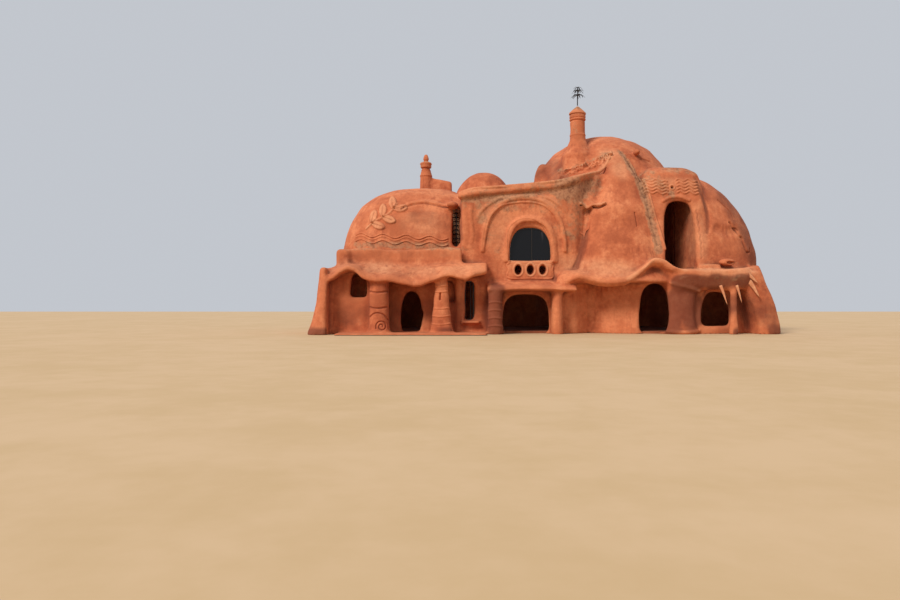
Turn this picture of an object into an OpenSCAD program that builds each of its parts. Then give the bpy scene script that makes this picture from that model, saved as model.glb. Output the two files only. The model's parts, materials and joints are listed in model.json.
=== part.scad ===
// Hand-moulded clay house: domes, a draped cone, a wavy porch roof and arched openings.
// Millimetres, +Z up, +X to the right of the front, the front faces -Y.
// The origin is on the ground, in the middle of the house.

/* [House] */
// Thickness of the clay walls and domes
wall_t = 400; // [300:10:500]
// Height of the upper floor above the ground
floor_z = 3300; // [3100:10:3500]
// Thickness of the upper floor
floor_t = 250; // [180:10:320]
// Thickness of the ground floor
ground_t = 120; // [80:10:200]

/* [Left wing] */
// How far the left dome reaches in past the middle's left side
left_lap = 2400; // [2300:10:2500]
// How far the left dome's front stands behind the porch eave
left_back = 2100; // [2000:10:2200]
// How far the left dome stands in from the left end
left_in = 1050; // [900:10:1200]
// Width of the left dome where it springs
left_w = 9200; // [8800:50:9600]
// Depth of the left dome where it springs
left_d = 7000; // [6500:50:7600]
// Height of the left dome
left_top = 8200; // [7900:10:8600]
// How far the left wall spreads at the ground
left_flare = 450; // [300:10:600]

/* [Middle] */
// Place of the middle's left side, left of the centre
middle_left = 4375; // [4200:10:4550]
// Place of the middle's right side, right of the centre
middle_right = 3325; // [3150:10:3500]
// How far the middle wall stands behind the porch eave
middle_back = 1600; // [1500:10:1700]
// Depth of the middle
middle_d = 7800; // [7300:50:8300]
// Height of the middle roof at its left end
middle_low = 7500; // [7300:10:7700]
// Height of the middle roof at its right end
middle_high = 8800; // [8500:10:9100]

/* [Hall] */
// How far the hall's middle stands behind the porch eave
hall_back = 7600; // [7450:10:7750]
// Place of the hall's middle, right of the centre
hall_x = 4200; // [4050:10:4350]
// Outside radius of the hall and its dome
hall_r = 4500; // [4300:10:4700]
// Height where the hall dome springs
hall_spring = 7100; // [6900:10:7300]

/* [Right wing] */
// How far the right dome reaches in past the middle's right side
right_lap = 1620; // [1500:10:1700]
// How far the right dome's front stands behind the porch eave
right_back = 1200; // [1100:10:1300]
// Width of the right dome where it springs
right_w = 10400; // [10000:50:10800]
// Depth of the right dome where it springs
right_d = 6400; // [6000:50:6800]
// How far the right wall spreads at the ground
right_flare = 120; // [60:10:200]
// Height of the right dome
right_top = 8900; // [8600:10:9200]

/* [Draped cone] */
// Place of the cone's middle, right of the centre
cone_x = 3875; // [3750:10:4000]
// Height of the cone's peak
cone_top = 10250; // [10000:10:10500]
// Width of the cone at the upper floor
cone_w = 4700; // [4300:50:5100]

/* [Porch] */
// Height of the porch floor step
step_h = 120; // [80:10:200]
// How far the step reaches in front of the eave
step_out = 700; // [500:10:900]
// Height of the terrace over the porch
terrace_z = 3650; // [3500:10:3750]
// Height of the terrace parapet above the terrace
parapet_h = 790; // [650:10:950]
// Thickness of the parapet
parapet_t = 260; // [200:10:320]
// How far the parapet stands behind the eave
parapet_back = 1200; // [1000:10:1350]

/* [Entrance and window] */
// Place of the entrance, left of the centre
door_x = 995; // [900:10:1080]
// Place of the big window, left of the centre
window_x = 775; // [700:10:850]
// Width of the entrance
door_w = 2450; // [2200:10:2600]
// Height of the entrance
door_h = 2050; // [1900:10:2150]
// Width of the big window at its sill
window_w = 2150; // [2000:10:2300]
// Height of the big window's sill above the upper floor
sill_h = 480; // [400:10:560]
// Height of the big window
window_h = 1750; // [1600:10:1900]
// Thickness of the window glass
glass_t = 24; // [16:1:32]
// Thickness of the window bars
bar_t = 50; // [35:1:70]

/* [Chimneys] */
// Radius of the main chimney
chimney_r = 430; // [380:5:480]
// Height of the main chimney's rim above the dome beside it
chimney_h = 2090; // [1900:10:2400]
// Radius of the flue
flue_r = 240; // [200:5:280]
// Height of the iron finial above the cap
finial_h = 1050; // [900:10:1200]
// Thickness of the iron rod
rod_d = 56; // [40:1:72]

/* [Hidden] */
$fn = 32;
far = 30000;
SIDES = 28;
front = (step_out - hall_back - hall_r) / 2;
left_x = middle_left - left_lap + left_w / 2;
left_y = front + left_back + left_d / 2;
right_x = middle_right - right_lap + right_w / 2;
right_y = front + right_back + right_d / 2;
hall_y = front + hall_back;
back = hall_y + hall_r;
middle_y = front + middle_back;
hall_top = hall_spring + hall_r;
chimney_left = 1855;
chimney_front = 2400;
chimney_x = hall_x - chimney_left;
chimney_y = hall_y - chimney_front;
chimney_foot = hall_spring + sqrt(pow(hall_r, 2) - pow(chimney_left, 2) - pow(chimney_front, 2));
chimney_top = chimney_foot + chimney_h;
left_end = -left_x - left_w / 2 - left_in;
right_end = right_x + right_w / 2 + right_flare;
pier_w = 850;
porch_l = left_end + left_in - 50;
porch_r = -door_x - door_w / 2 - pier_w;
parapet_y = front + parapet_back;
sill_z = floor_z + sill_h;
slab_under = floor_z - floor_t;
clay = [0.80, 0.42, 0.25];
pale_clay = [0.86, 0.52, 0.33];
dark_clay = [0.62, 0.30, 0.18];
iron = [0.10, 0.10, 0.11];

// Smooth value at x along a list of [x, value] points
function along(p, x, i = 0) =
  x <= p[0][0] ? p[0][1]
  : i >= len(p) - 2 || x <= p[i + 1][0]
    ? let (t = min(1, (x - p[i][0]) / (p[i + 1][0] - p[i][0])))
      p[i][1] + (p[i + 1][1] - p[i][1]) * (1 - cos(180 * t)) / 2
    : along(p, x, i + 1);

// A level ring of points, n is its squareness: 2 is an ellipse
function ring(x, y, z, a, b, n = 2, sides = SIDES) =
  [for (i = [0 : sides - 1])
    let (c = cos(360 * i / sides), s = sin(360 * i / sides))
    [x + a * sign(c) * pow(abs(c), 2 / n), y + b * sign(s) * pow(abs(s), 2 / n), z]];

// Solid through a row of sections, each a convex flat outline with as many points
module skin(sections) {
  for (i = [0 : len(sections) - 2])
    hull() polyhedron(
      points = concat(sections[i], sections[i + 1]),
      faces = [[for (k = [0 : len(sections[i]) + len(sections[i + 1]) - 1]) k]]
    );
}

// Rings of a dome on a wall: w and d across at the springing, flare more at the ground
function dome_rings(x, y, w, d, flare, spring, top, n, inset) = let (
  rows = inset > 0 ? 4 : 7,
  last = sin(90 * rows / (rows + 0.3)),
  sides = inset > 0 ? 20 : SIDES
) concat(
  [for (u = inset > 0 ? [0] : [0, 0.4])
    let (out = flare * pow(1 - u, 2) - inset)
    ring(x, y, u * spring - inset, w / 2 + out, d / 2 + out, n, sides)],
  [for (k = [0 : rows])
    let (
      t = sin(90 * k / (rows + 0.3)),
      m = pow(1 - pow(t, n), 1 / n)
    )
    ring(x, y, spring + (top - inset - spring) * t / last,
      (w / 2 - inset) * m, (d / 2 - inset) * m, n, sides)]
);

// Left wing, inset by the wall for its inside
module left_form(inset = 0)
  skin(dome_rings(-left_x, left_y, left_w, left_d, left_flare, 3200, left_top, 2.5, inset));

// Right wing
module right_form(inset = 0)
  skin(dome_rings(right_x, right_y, right_w, right_d, right_flare, 3200, right_top, 2.1, inset));

// Hall: a round tower and its dome
module hall_form(inset = 0)
  skin(dome_rings(hall_x, hall_y, 2 * hall_r, 2 * hall_r, 0, hall_spring, hall_top, 2, inset));

// Height of the middle roof's front edge at x
function roof_z(x) = along([
  [-middle_left, middle_low], [-middle_left + 775, middle_low + 180], [0, middle_low + 480],
  [middle_right, middle_high]], x);

// Place of the middle's front at x, which runs back behind the cone
function middle_front(x) = middle_y + along([[middle_right - 2025, 0], [middle_right, 1300]], x);

// Section of the middle at x, inset by the wall for its inside
function middle_section(x, inset) = let (
  z = roof_z(x) - inset,
  y0 = middle_front(x) + inset,
  y1 = middle_y + middle_d - inset
) [for (p = [
    [y0, -inset], [y0, z - 900], [y0 + 120, z - 350], [y0 + 450, z],
    [(y0 + y1) / 2, z + 350], [y1 - 700, z - 150], [y1 - 150, z - 700], [y1, z - 1300], [y1, -inset]
  ]) [x, p[0], p[1]]];

module middle_form(inset = 0) {
  steps = inset > 0 ? 5 : 9;
  x0 = -middle_left + inset;
  x1 = middle_right - inset;
  skin([for (i = [0 : steps]) middle_section(x0 + (x1 - x0) * i / steps, inset)]);
}

// Draped cone, u from 0 at its foot to 1: [share of the half width, front, depth of the round front, lean]
function cone_shape(u) = [
  along([[0, 1.15], [0.1, 1], [0.25, 0.86], [0.5, 0.68], [0.75, 0.42], [0.92, 0.2], [1, 0.07]], u),
  along([[0, 250], [0.1, 700], [0.25, 1050], [0.5, 1480], [0.75, 2350], [0.92, 3400], [1, 4000]], u),
  along([[0, 1200], [0.25, 1300], [0.5, 1100], [0.75, 900], [1, 300]], u),
  along([[0, 0], [0.25, 40], [0.75, 300], [1, 360]], u)
];

cone_foot = floor_z - 650;
cone_steps = [0, 0.05, 0.1, 0.18, 0.27, 0.4, 0.52, 0.64, 0.75, 0.85, 0.93, 1];
function cone_z(u) = cone_foot + (cone_top - cone_foot) * u;

module cone_form(inset = 0) {
  y_back = middle_y + 3100;
  n = inset > 0 ? 8 : 14;
  skin([for (u = inset > 0 ? [0, 0.1, 0.25, 0.5, 0.75, 0.9] : cone_steps)
    let (
      s = cone_shape(u),
      x = cone_x + s[3],
      hw = max(cone_w / 2 * s[0] - inset, 20),
      y0 = front + s[1] + inset * 1.2,
      b = max(s[2] - inset, 20)
    )
    concat(
      [for (i = [0 : n])
        let (t = 180 + 180 * i / n, c = cos(t), r = 2 / 2.7)
        [x + hw * sign(c) * pow(abs(c), r), y0 + b - b * pow(abs(sin(t)), r), cone_z(u)]],
      [[x + hw, y_back, cone_z(u)], [x - hw, y_back, cone_z(u)]]
    )]);
}

// Ridge down the cone's right side, and the short ledge at its left where its sheet laps over the wall
module cone_folds() {
  skin([for (i = [0 : 8])
    let (u = 0.2 + 0.74 * i / 8, s = cone_shape(u), r = 80 + 100 * sin(180 * u))
    ring(cone_x + s[3] + cone_w / 2 * s[0] * 0.86, front + s[1] + s[2] * 0.34, cone_z(u), r, r, 2, 10)]);
  skin([for (i = [0 : 5])
    let (
      x = cone_x - 1800 + 230 * i,
      y = front + along([[0, 2050], [0.4, 2050], [1, 1720]], i / 5),
      z = cone_z(0.54) + 50 * cos(160 * i),
      r = 50 + 80 * sin(30 * i + 15)
    )
    [for (k = [0 : 9]) [x, y + r * cos(36 * k), z + r * sin(36 * k)]]]);
}

// Block over and beside the tall niche
niche_x = right_end - 5350;
niche_w = 3600;
niche_step = 440;
niche_top = 8950;
module niche_form(inset = 0) {
  z0 = floor_z;
  h = niche_top - z0;
  skin([for (u = inset > 0 ? [0, 0.6, 0.8, 1] : [0, 0.3, 0.6, 0.8, 0.93, 1])
    let (
      m = along([[0, 1], [0.6, 0.95], [0.8, 0.88], [0.93, 0.8], [1, 0.6]], u),
      lean = along([[0, 0], [0.6, 200], [0.8, 420], [0.93, 750], [1, 1300]], u),
      hw = niche_w / 2 * m - inset,
      y0 = front + 1500 + lean + inset,
      z = z0 + h * u - (u == 1 ? inset : 0)
    )
    [for (p = [[-hw, 300], [-hw + 250, 60], [-hw + 500, 0], [hw - 500, 0], [hw - 250, 60], [hw, 300],
        [hw, 3200], [-hw, 3200]])
      [niche_x + p[0], y0 + p[1], z]]]);
}

// Where the tall niche's doorway stands
doorway_x = niche_x + 175;
doorway_w = 1640;

// Curved side of the niche, which runs back from the doorway's right side
module niche_side() intersection() {
  niche_form();
  skin([for (i = [0 : 6])
    let (
      y = front + 1300 + 550 * i,
      x = doorway_x + doorway_w / 2 - 350 * pow(i / 6, 2)
    )
    [[x, y, floor_z], [x + niche_w, y, floor_z], [x + niche_w, y, niche_top], [x, y, niche_top]]]);
}

// The rooms that reach from the ground to the roof
module tall_rooms() {
  left_form(wall_t);
  middle_form(wall_t);
  hall_form(wall_t);
  right_form(wall_t);
}

// All the rooms inside, with the flue
module rooms() {
  tall_rooms();
  translate([chimney_x, chimney_y, hall_spring]) cylinder(chimney_top - hall_spring, r = flue_r);
  intersection() {
    union() {
      cone_form(wall_t);
      niche_form(wall_t);
    }
    level(floor_z, far);
  }
}

// Everything between two heights
module level(z0, z1) translate([-far / 2, -far / 2, z0]) cube([far, far, z1 - z0]);

// Arched hole through a wall that faces the front or the back
module arch_hole(x, y, z, w, h, t = 2000, n = 3)
  translate([x, y, z]) rotate([90, 0, 0]) translate([0, 0, -t / 2]) linear_extrude(t) arch(w, h, n);

// Outline of an arch, straighter at its foot and round at its head
module arch(w, h, n = 3, steps = 14)
  polygon([for (i = [0 : steps])
    let (t = 180 * i / steps)
    [w / 2 * sign(cos(t)) * pow(abs(cos(t)), 2 / n), h * pow(sin(t), 2 / n)]]);

// Floors
module ground_floor() color(dark_clay) intersection() {
  tall_rooms();
  level(0, ground_t);
}

module upper_floor() color(dark_clay) intersection() {
  tall_rooms();
  level(slab_under, floor_z);
}

// Porch: step, roof, parapet, walls and pillars
step_l = porch_l + 450;
module porch_step() color(pale_clay) difference() {
  translate([step_l, front - step_out, 0]) cube([porch_r - step_l, step_out + 3500, step_h]);
  left_form();
  middle_form();
}

// Height of the porch eave along the porch, t from 0 at its left end to 1
eave_z = slab_under - 300;
function eave(t) = eave_z + along([
  [0, 0], [0.15, 640], [0.26, 60], [0.32, -20], [0.38, 50], [0.46, -90], [0.56, -270],
  [0.66, 0], [0.755, 300], [0.79, 250], [0.85, 60], [0.93, 330], [1, 450]], t);

function porch_section(t, lift) = let (
  x = porch_l + (porch_r - porch_l) * t,
  e = eave(t),
  y0 = front + along([[0, 250], [0.1, 0], [0.9, 0], [1, 450]], t),
  z1 = terrace_z - along([[0, 250], [0.08, 0]], t),
  y1 = front + 3300
) lift > 0
  ? [for (p = [[y0 - 400, e - 90], [y0, e - 90], [y0 + 300, e - 120], [y1, terrace_z - 500],
      [y1, lift], [y0 - 400, lift]]) [x, p[0], p[1]]]
  : [for (p = [[y0, e - 90], [y0 + 300, e - 120], [y1, terrace_z - 500], [y1, z1],
      [parapet_y, z1], [y0 + 50, e + 110]]) [x, p[0], p[1]]];

// The roof itself, or with a lift everything from its underside up to that height
module porch_roof_form(lift = 0)
  skin([for (i = [0 : 22]) porch_section(i / 22, lift)]);

module porch_roof() color(clay) difference() {
  porch_roof_form();
  left_form();
  middle_form();
}

module under_porch_roof() difference() {
  children();
  porch_roof_form(6000);
}

module terrace_parapet() color(clay) difference() {
  skin([for (i = [0 : 10])
    let (
      t = i / 10,
      x = porch_l + 1150 + (-middle_left - porch_l - 1150) * t,
      z1 = terrace_z + parapet_h + 40 * sin(540 * t)
    )
    [for (p = [[0, terrace_z], [0, z1 - 60], [60, z1], [parapet_t - 60, z1], [parapet_t, z1 - 60],
        [parapet_t, terrace_z]]) [x, parapet_y + p[0], p[1]]]]);
  left_form();
  middle_form();
}

// Rounded block with a spout at the parapet's left end
module terrace_spout() color(clay) difference() {
  union() {
    skin([for (u = [0, 0.15, 0.85, 1])
      let (m = along([[0, 0.8], [0.15, 1], [0.85, 1], [1, 0.8]], u))
      ring(porch_l + 750, parapet_y + 100, terrace_z - 150 + (parapet_h + 100) * u,
        400 * m, 330 * m, 2.6, 16)]);
    translate([porch_l + 950, parapet_y - 100, terrace_z + 100]) rotate([90, 0, 0]) cylinder(350, 90, 70);
  }
  porch_roof_form();
}

module porch_end_wall() color(clay) under_porch_roof() difference() {
  skin([for (u = [0, 0.2, 0.5, 0.8, 1])
    let (
      h = terrace_z - 250,
      x0 = left_end + along([[0, 0], [0.2, 250], [0.5, 450], [0.8, 550], [1, 620]], u),
      x1 = porch_l + 60,
      y0 = front + along([[0, -150], [0.2, 0], [1, 250]], u)
    )
    [for (p = [[x0, y0 + 400], [x0 + 200, y0 + 80], [x0 + 450, y0], [x1, y0], [x1, front + 3600],
        [x0, front + 3600]]) [p[0], p[1], h * u]]]);
  left_form();
}

bay_r = porch_l + 2350;
module porch_bay_wall() color(clay) under_porch_roof() difference() {
  translate([porch_l + 60, front + 950, 0]) cube([bay_r - porch_l - 60, 350, 5000]);
  arch_hole(porch_l + 1550, front + 1000, 1900, 850, 1300);
  porch_step();
  carved_pillar();
}

module porch_fold_wall() color(clay) under_porch_roof() difference() {
  union() {
    skin([for (u = [0, 1])
      let (x0 = -middle_left - 1250)
      [for (p = [[x0, 2350], [x0 + 250, 1900], [x0 + 600, 1720], [-middle_left, 1620], [-middle_left, 3200],
        [x0, 3200]]) [p[0], front + p[1], step_h + u * 5000]]]);
    skin([for (u = [0 : 8])
      ring(-middle_left - 120, front + 1700, step_h + u * 500, 230 + 25 * sin(u * 110), 240, 2, 14)]);
  }
  arch_hole(-middle_left - 650, front + 1600, 1650, 700, 1150, 900);
  left_form();
  middle_form();
}

carved_x = porch_l + 2640;
module carved_pillar() color(pale_clay) under_porch_roof()
  skin([for (i = [0 : 14])
    let (
      u = i / 14,
      r = 510 + along([[0, 60], [0.12, 20], [0.42, 0], [0.46, -60], [0.5, 10], [0.72, -10], [0.76, -60],
        [0.8, -10], [0.9, 10], [1, 120]], u)
    )
    ring(carved_x, front + 700, step_h + u * 3000, r, r * 0.9, 2.3, 16)]);

pier_x = porch_l + 5820;
module tapered_pier() color(clay) under_porch_roof() difference() {
  skin([for (i = [0 : 12])
    let (
      u = i / 12,
      r = 590 - 310 * pow(u, 0.8) + 18 * sin(u * 1440)
    )
    ring(pier_x, front + 650, step_h + u * 3000, r, r * 0.8, 2.5, 16)]);
  arch_hole(pier_x, front + 500, 1720, 90, 360, 900);
}

// Left wing: wall up to the upper floor, dome above
slit_x = -middle_left - 260;
slit_y = front + left_back + 600;
slit_z = floor_z + 1300;
slit_w = 400;
slit_h = 2100;
module slit_hole() arch_hole(slit_x, slit_y, slit_z, slit_w, slit_h, 2400);

module left_openings() {
  slit_hole();
  // Windows at the back
  for (x = [-2300, 0]) arch_hole(-left_x + x, left_y + left_d / 2, floor_z + 900, 900, 1300, 3000);
  arch_hole(-left_x + 1300, left_y + left_d / 2, 950, 1100, 1400, 2400);
  // Door from the porch
  arch_hole(porch_l + 4200, left_y - left_d / 2, step_h, 1000, 2100, 2400);
}

module left_shell() difference() {
  union() {
    left_form();
    slit_hood();
  }
  middle_form();
  rooms();
  left_openings();
}

// Small hood of clay over the slit window
module slit_hood()
  skin([for (u = [0, 0.3, 0.7, 1])
    let (x = slit_x - slit_w / 2 - 350 + u * 620, z = slit_z + slit_h - 90 + 190 * sin(180 * u))
    [for (p = [[-60, 0], [-120, 130], [-40, 260], [900, 420], [900, 0]])
      [x, slit_y - 500 + p[0], z + p[1]]]]);

module left_wall() color(clay) intersection() {
  left_shell();
  level(0, floor_z);
}

module left_dome() color(clay) intersection() {
  left_shell();
  level(floor_z, far);
}

module slit_window_bars() color(iron) intersection() {
  union() {
    for (z = [100 : 400 : slit_h]) translate([slit_x, slit_y + 150, slit_z + z]) rotate([0, 90, 0])
      cylinder(slit_w - 10, d = 30, center = true);
    translate([slit_x, slit_y + 150, slit_z]) cylinder(slit_h - 10, d = 34);
  }
  slit_hole();
}

// Middle
narrow_x = -middle_left + 170;
narrow_z = 710;
narrow_w = 480;
narrow_h = 2040;
oval_r = 190;
module middle_openings() {
  arch_hole(-door_x, middle_y, step_h, door_w, door_h - step_h, 1400, 3.6);
  arch_hole(-window_x, middle_y, sill_z, window_w, window_h, 1400);
  // Narrow window beside the entrance
  translate([narrow_x, middle_y - wall_t, narrow_z]) cube([narrow_w, 1400, narrow_h]);
  // Ovals under the big window
  for (i = [-1 : 1]) translate([-window_x + i * 640, middle_y, sill_z - 450])
    scale([1, 1, 1.4]) rotate([90, 0, 0]) cylinder(1400, r = oval_r, center = true, $fn = 24);
  for (x = [-2600, -200]) arch_hole(x, middle_y + middle_d, floor_z + 900, 1100, 1400, 1400);
  arch_hole(-2600, middle_y + middle_d, 950, 1100, 1400, 1400);
}

module middle_shell() difference() {
  middle_form();
  cone_form();
  rooms();
  middle_openings();
}

middle_cut = middle_y + 2400;
roof_cut = middle_low - 1500;
module middle_front_wall() color(clay) intersection() {
  middle_shell();
  translate([-far / 2, middle_y - far, 0]) cube([far, far + middle_cut - middle_y, floor_z]);
}

module middle_upper_wall() color(clay) intersection() {
  middle_shell();
  translate([-far / 2, middle_y - far, floor_z]) cube([far, far + middle_cut - middle_y, far]);
}

module middle_back_wall() color(clay) intersection() {
  middle_shell();
  translate([middle_right - wall_t - far, middle_cut, 0]) cube([far, far, roof_cut]);
}

module middle_roof() color(clay) intersection() {
  middle_shell();
  translate([-far / 2, middle_cut, roof_cut]) cube([far, far, far]);
}

// Rolled rim of clay along the roof's front edge
module roof_lip() color(clay) difference() {
  x0 = -middle_left - 200;
  x1 = cone_x - 450;
  skin([for (i = [0 : 14])
    let (
      x = x0 + (x1 - x0) * i / 14,
      y = middle_front(x) + 60,
      z = roof_z(x) - 300,
      r = 210 + 40 * sin(i * 75)
    )
    [for (k = [0 : 9]) [x, y + r * cos(36 * k), z + r * 0.85 * sin(36 * k)]]]);
  middle_form();
  cone_form();
  left_form();
}

// Raised arch of clay round a window, on the middle's front
module arch_band(x, z, w, h, band, out, n)
  translate([x, middle_y, z]) rotate([90, 0, 0]) linear_extrude(out) difference() {
    arch(w, h, n, 26);
    translate([0, -1]) arch(w - 2 * band, h - band, n, 26);
  }

module window_arch() color(clay) difference() {
  arch_band(-window_x - 350, sill_z + 500, 4500, 2900, 170, 110, 2.4);
  cone_form();
}

module window_surround() color(clay) {
  arch_band(-window_x, sill_z - 60, window_w + 660, window_h + 660, 170, 110, 2.8);
  arch_band(-window_x, sill_z - 60, window_w + 360, window_h + 510, 130, 180, 2.8);
}

module balcony_panel() color(pale_clay) difference() {
  translate([-window_x - 1140, middle_y - 120, sill_z - 960]) cube([2280, 120, 880]);
  middle_openings();
}

module window_frame() color(iron) translate([-window_x, middle_y + 150, sill_z]) rotate([90, 0, 0])
  linear_extrude(bar_t) {
    difference() {
      arch(window_w, window_h);
      translate([0, bar_t]) arch(window_w - 2 * bar_t, window_h - 2 * bar_t);
    }
    translate([60, bar_t / 2]) square([bar_t, window_h - 1.5 * bar_t]);
  }

module window_glass() color([0.15, 0.18, 0.2, 0.6])
  translate([-window_x, middle_y + 150 + glass_t, sill_z]) rotate([90, 0, 0])
    linear_extrude(glass_t) arch(window_w, window_h);

module narrow_window_bars() color(iron) translate([narrow_x, middle_y + 120, narrow_z]) {
  difference() {
    cube([narrow_w, bar_t, narrow_h]);
    translate([bar_t, -1, bar_t]) cube([narrow_w - 2 * bar_t, bar_t + 2, narrow_h - 2 * bar_t]);
  }
  translate([narrow_w * 0.62, 0, bar_t]) cube([30, bar_t, narrow_h - 2 * bar_t]);
}

module plant_shelf() color(clay) difference() {
  translate([narrow_x - 150, middle_y - 420, narrow_z - 190]) cube([narrow_w + 520, 420, 160]);
  porch_fold_wall();
}

// Entrance: x and height of the hood's edge, t from 0 at its left end to 1
function hood_x(t) = porch_r + (cone_x - cone_w / 2 - porch_r) * t;
function hood_z(t) = door_h + 150 + 60 * sin(180 * t);

module entrance_hood() color(clay) difference() {
  skin([for (i = [0 : 12])
    let (x = hood_x(i / 12), z = hood_z(i / 12))
    [for (p = [[-1150, z], [-1150, z + 120], [0, sill_z - 980], [0, z - 60]]) [x, middle_y + p[0], p[1]]]]);
  middle_form();
  cone_form();
  porch_roof_form();
  skirt_form();
}

module under_hood() difference() {
  children();
  skin([for (i = [0 : 12])
    let (x = hood_x(i / 12), z = hood_z(i / 12))
    [for (p = [[-1950, z], [-1950, z + far / 8], [50, z + far / 8], [50, z - 60]])
      [x, middle_y + p[0], p[1]]]]);
}

module entrance_pier() color(pale_clay) under_hood() difference() {
  skin([for (i = [0 : 10])
    let (u = i / 10, r = 400 - 60 * u + 22 * sin(i * 120))
    ring(porch_r + pier_w / 2, front + 1050, u * 3000, r, 560, 2.6, 14)]);
  middle_form();
  porch_step();
}

module entrance_post() color(clay) under_hood() difference() {
  skin([for (i = [0 : 6])
    let (u = i / 6, r = 330 - 50 * sin(180 * u))
    ring(-door_x + door_w / 2 + 330, front + 1200, u * 3000, r, 420, 2.4, 16)]);
  middle_form();
}

// Draped cone and the skirt that runs from it round the right wing
module draped_cone() color(clay) difference() {
  union() {
    cone_form();
    difference() {
      cone_folds();
      middle_form();
      niche_form();
      right_form();
    }
  }
  rooms();
}

skirt_l = cone_x - 3290;
skirt_r = right_end - 1300;
function skirt_z(x) = floor_z + along([
  [skirt_l, -790], [cone_x - 2390, -340], [cone_x - 975, -630], [cone_x - 150, -590], [cone_x + 690, -290],
  [cone_x + 1100, 200], [cone_x + 1550, 500], [niche_x - 1000, 370], [niche_x - 550, 20],
  [niche_x + 50, -120], [niche_x + 950, -190], [right_end - 2600, -120], [skirt_r, 100]], x);

function skirt_section(x, lift) = let (
  z = skirt_z(x),
  y0 = front + along([[skirt_l, 900], [cone_x - 2390, 350], [cone_x - 150, 150], [cone_x + 1550, 250],
    [niche_x + 50, 300], [right_end - 2600, 500], [skirt_r, 1100]], x),
  y1 = front + 3400
) lift > 0
  ? [for (p = [[y0 - 400, z - 60], [y0, z - 60], [y0 + 350, z - 260], [y1, floor_z - 500],
      [y1, lift], [y0 - 400, lift]]) [x, p[0], p[1]]]
  : [for (p = [[y0, z - 60], [y0 + 350, z - 260], [y1, floor_z - 500], [y1, floor_z],
      [y0 + 900, max(floor_z, z - 250)], [y0 + 60, z + 130]]) [x, p[0], p[1]]];

module skirt_form(lift = 0)
  skin([for (i = [0 : 22]) skirt_section(skirt_l + (skirt_r - skirt_l) * i / 22, lift)]);

module under_skirt() difference() {
  children();
  skirt_form(6000);
}

// Eyelid vent and low box on the terrace behind the skirt
vent_x = right_end - 2850;
module terrace_vents() {
  skin([for (k = [0 : 3]) let (t = k * 29)
    ring(vent_x, front + 1450, floor_z - 200 + 760 * sin(t), 420 * cos(t), 380 * cos(t), 2, 14)]);
  translate([vent_x - 1550, front + 1100, floor_z - 200]) cube([760, 900, 450]);
}

module skirt_eave() color(clay) difference() {
  union() {
    skirt_form();
    terrace_vents();
  }
  cone_form();
  niche_form();
  right_form();
  middle_form();
}

// Right wing: low arch over a bench
bench_x = right_end - 3350;
module bench_hole(t) arch_hole(bench_x, front + 1500, 430, 1600, 1750, t);

module right_openings() {
  arch_hole(doorway_x, front + 2500, floor_z, doorway_w, 3650, 3600, 4);
  bench_hole(1600);
  arch_hole(right_end - 6550, front + 1500, ground_t, 1500, 2500, 2400);
  arch_hole(right_end - 1900, right_y + right_d / 2, floor_z + 900, 900, 1300, 3600);
  arch_hole(right_end - 3600, right_y + right_d / 2, 950, 1100, 1400, 3600);
}

// Everything above the upper floor that is left of the niche's doorway
module left_of_niche() translate([niche_x - niche_step - far, -far / 2, floor_z]) cube([far, far, far]);

module niche_block() color(clay) {
  difference() {
    union() {
      niche_form();
      intersection() {
        right_form();
        left_of_niche();
      }
    }
    cone_form();
    middle_form();
    rooms();
    right_openings();
  }
  niche_side();
}

module right_shell() difference() {
  right_form();
  cone_form();
  niche_form();
  middle_form();
  rooms();
  right_openings();
}

module right_wall() color(clay) intersection() {
  right_shell();
  level(0, floor_z);
}

module right_dome() color(clay) difference() {
  intersection() {
    right_shell();
    level(floor_z, far);
  }
  left_of_niche();
}

module right_end_wall() color(clay) under_skirt() difference() {
  skin([for (u = [0, 0.15, 0.4, 0.7, 1])
    let (
      x1 = right_end - along([[0, 0], [0.15, 60], [0.4, 300], [0.7, 750], [1, 1150]], u),
      z = u * (floor_z + 300)
    )
    [for (p = [[x1 - 1300, 900], [x1 - 700, 700], [x1 - 200, 900], [x1, 1500], [x1, 3200], [x1 - 500, 4600],
        [x1 - 1900, 4600]]) [p[0], front + p[1], z]]]);
  right_form();
  arch_hole(right_end - 2480, front + 1000, 500, 300, 1350, 1600);
}

module funnel_pillar() color(pale_clay) under_skirt() difference() {
  skin([for (i = [0 : 9])
    let (u = i / 9, r = along([[0, 900], [0.06, 800], [0.3, 660], [0.6, 720], [0.85, 980], [1, 1300]], u))
    ring(right_end - 5280, front + 1150, u * 3300, r, r * 0.6, 2.3, 18)]);
  right_form();
  cone_form();
  bench_hole(3600);
}

module thin_leg() color(clay) under_skirt() difference() {
  skin([for (i = [0 : 8])
    let (u = i / 8, r = along([[0, 260], [0.3, 170], [0.7, 180], [1, 420]], u))
    ring(right_end - 2700, front + 800, u * 3300, r, r, 2, 14)]);
  right_form();
  right_end_wall();
}

// Low lump on the roof at the foot of the hall dome, with a round hole
module roof_lump() {
  x = hall_x - 3700;
  y = hall_y - 1300;
  z = hall_spring + 1000;
  lump_h = 1700;
  difference() {
    skin([for (u = [0, 0.5, 0.7, 0.9, 1])
      let (r = 520 - 380 * pow(u, 4))
      ring(x, y, z + lump_h * u, r, 1.1 * r, 2.4, 16)]);
    translate([x - 270, y - 200, z + lump_h - 620]) rotate([90, 0, 0]) cylinder(500, r = 110);
  }
}

// Hall
module hall_shell() difference() {
  union() {
    hall_form();
    roof_lump();
  }
  middle_form();
  right_form();
  niche_form();
  cone_form();
  rooms();
  for (x = [-1700, 1700]) {
    arch_hole(hall_x + x, back - 600, floor_z + 900, 1100, 1400, 3000);
    arch_hole(hall_x + x, back - 600, 950, 1100, 1400, 3000);
  }
}

module hall_wall() color(clay) intersection() {
  hall_shell();
  level(0, floor_z);
}

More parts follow.
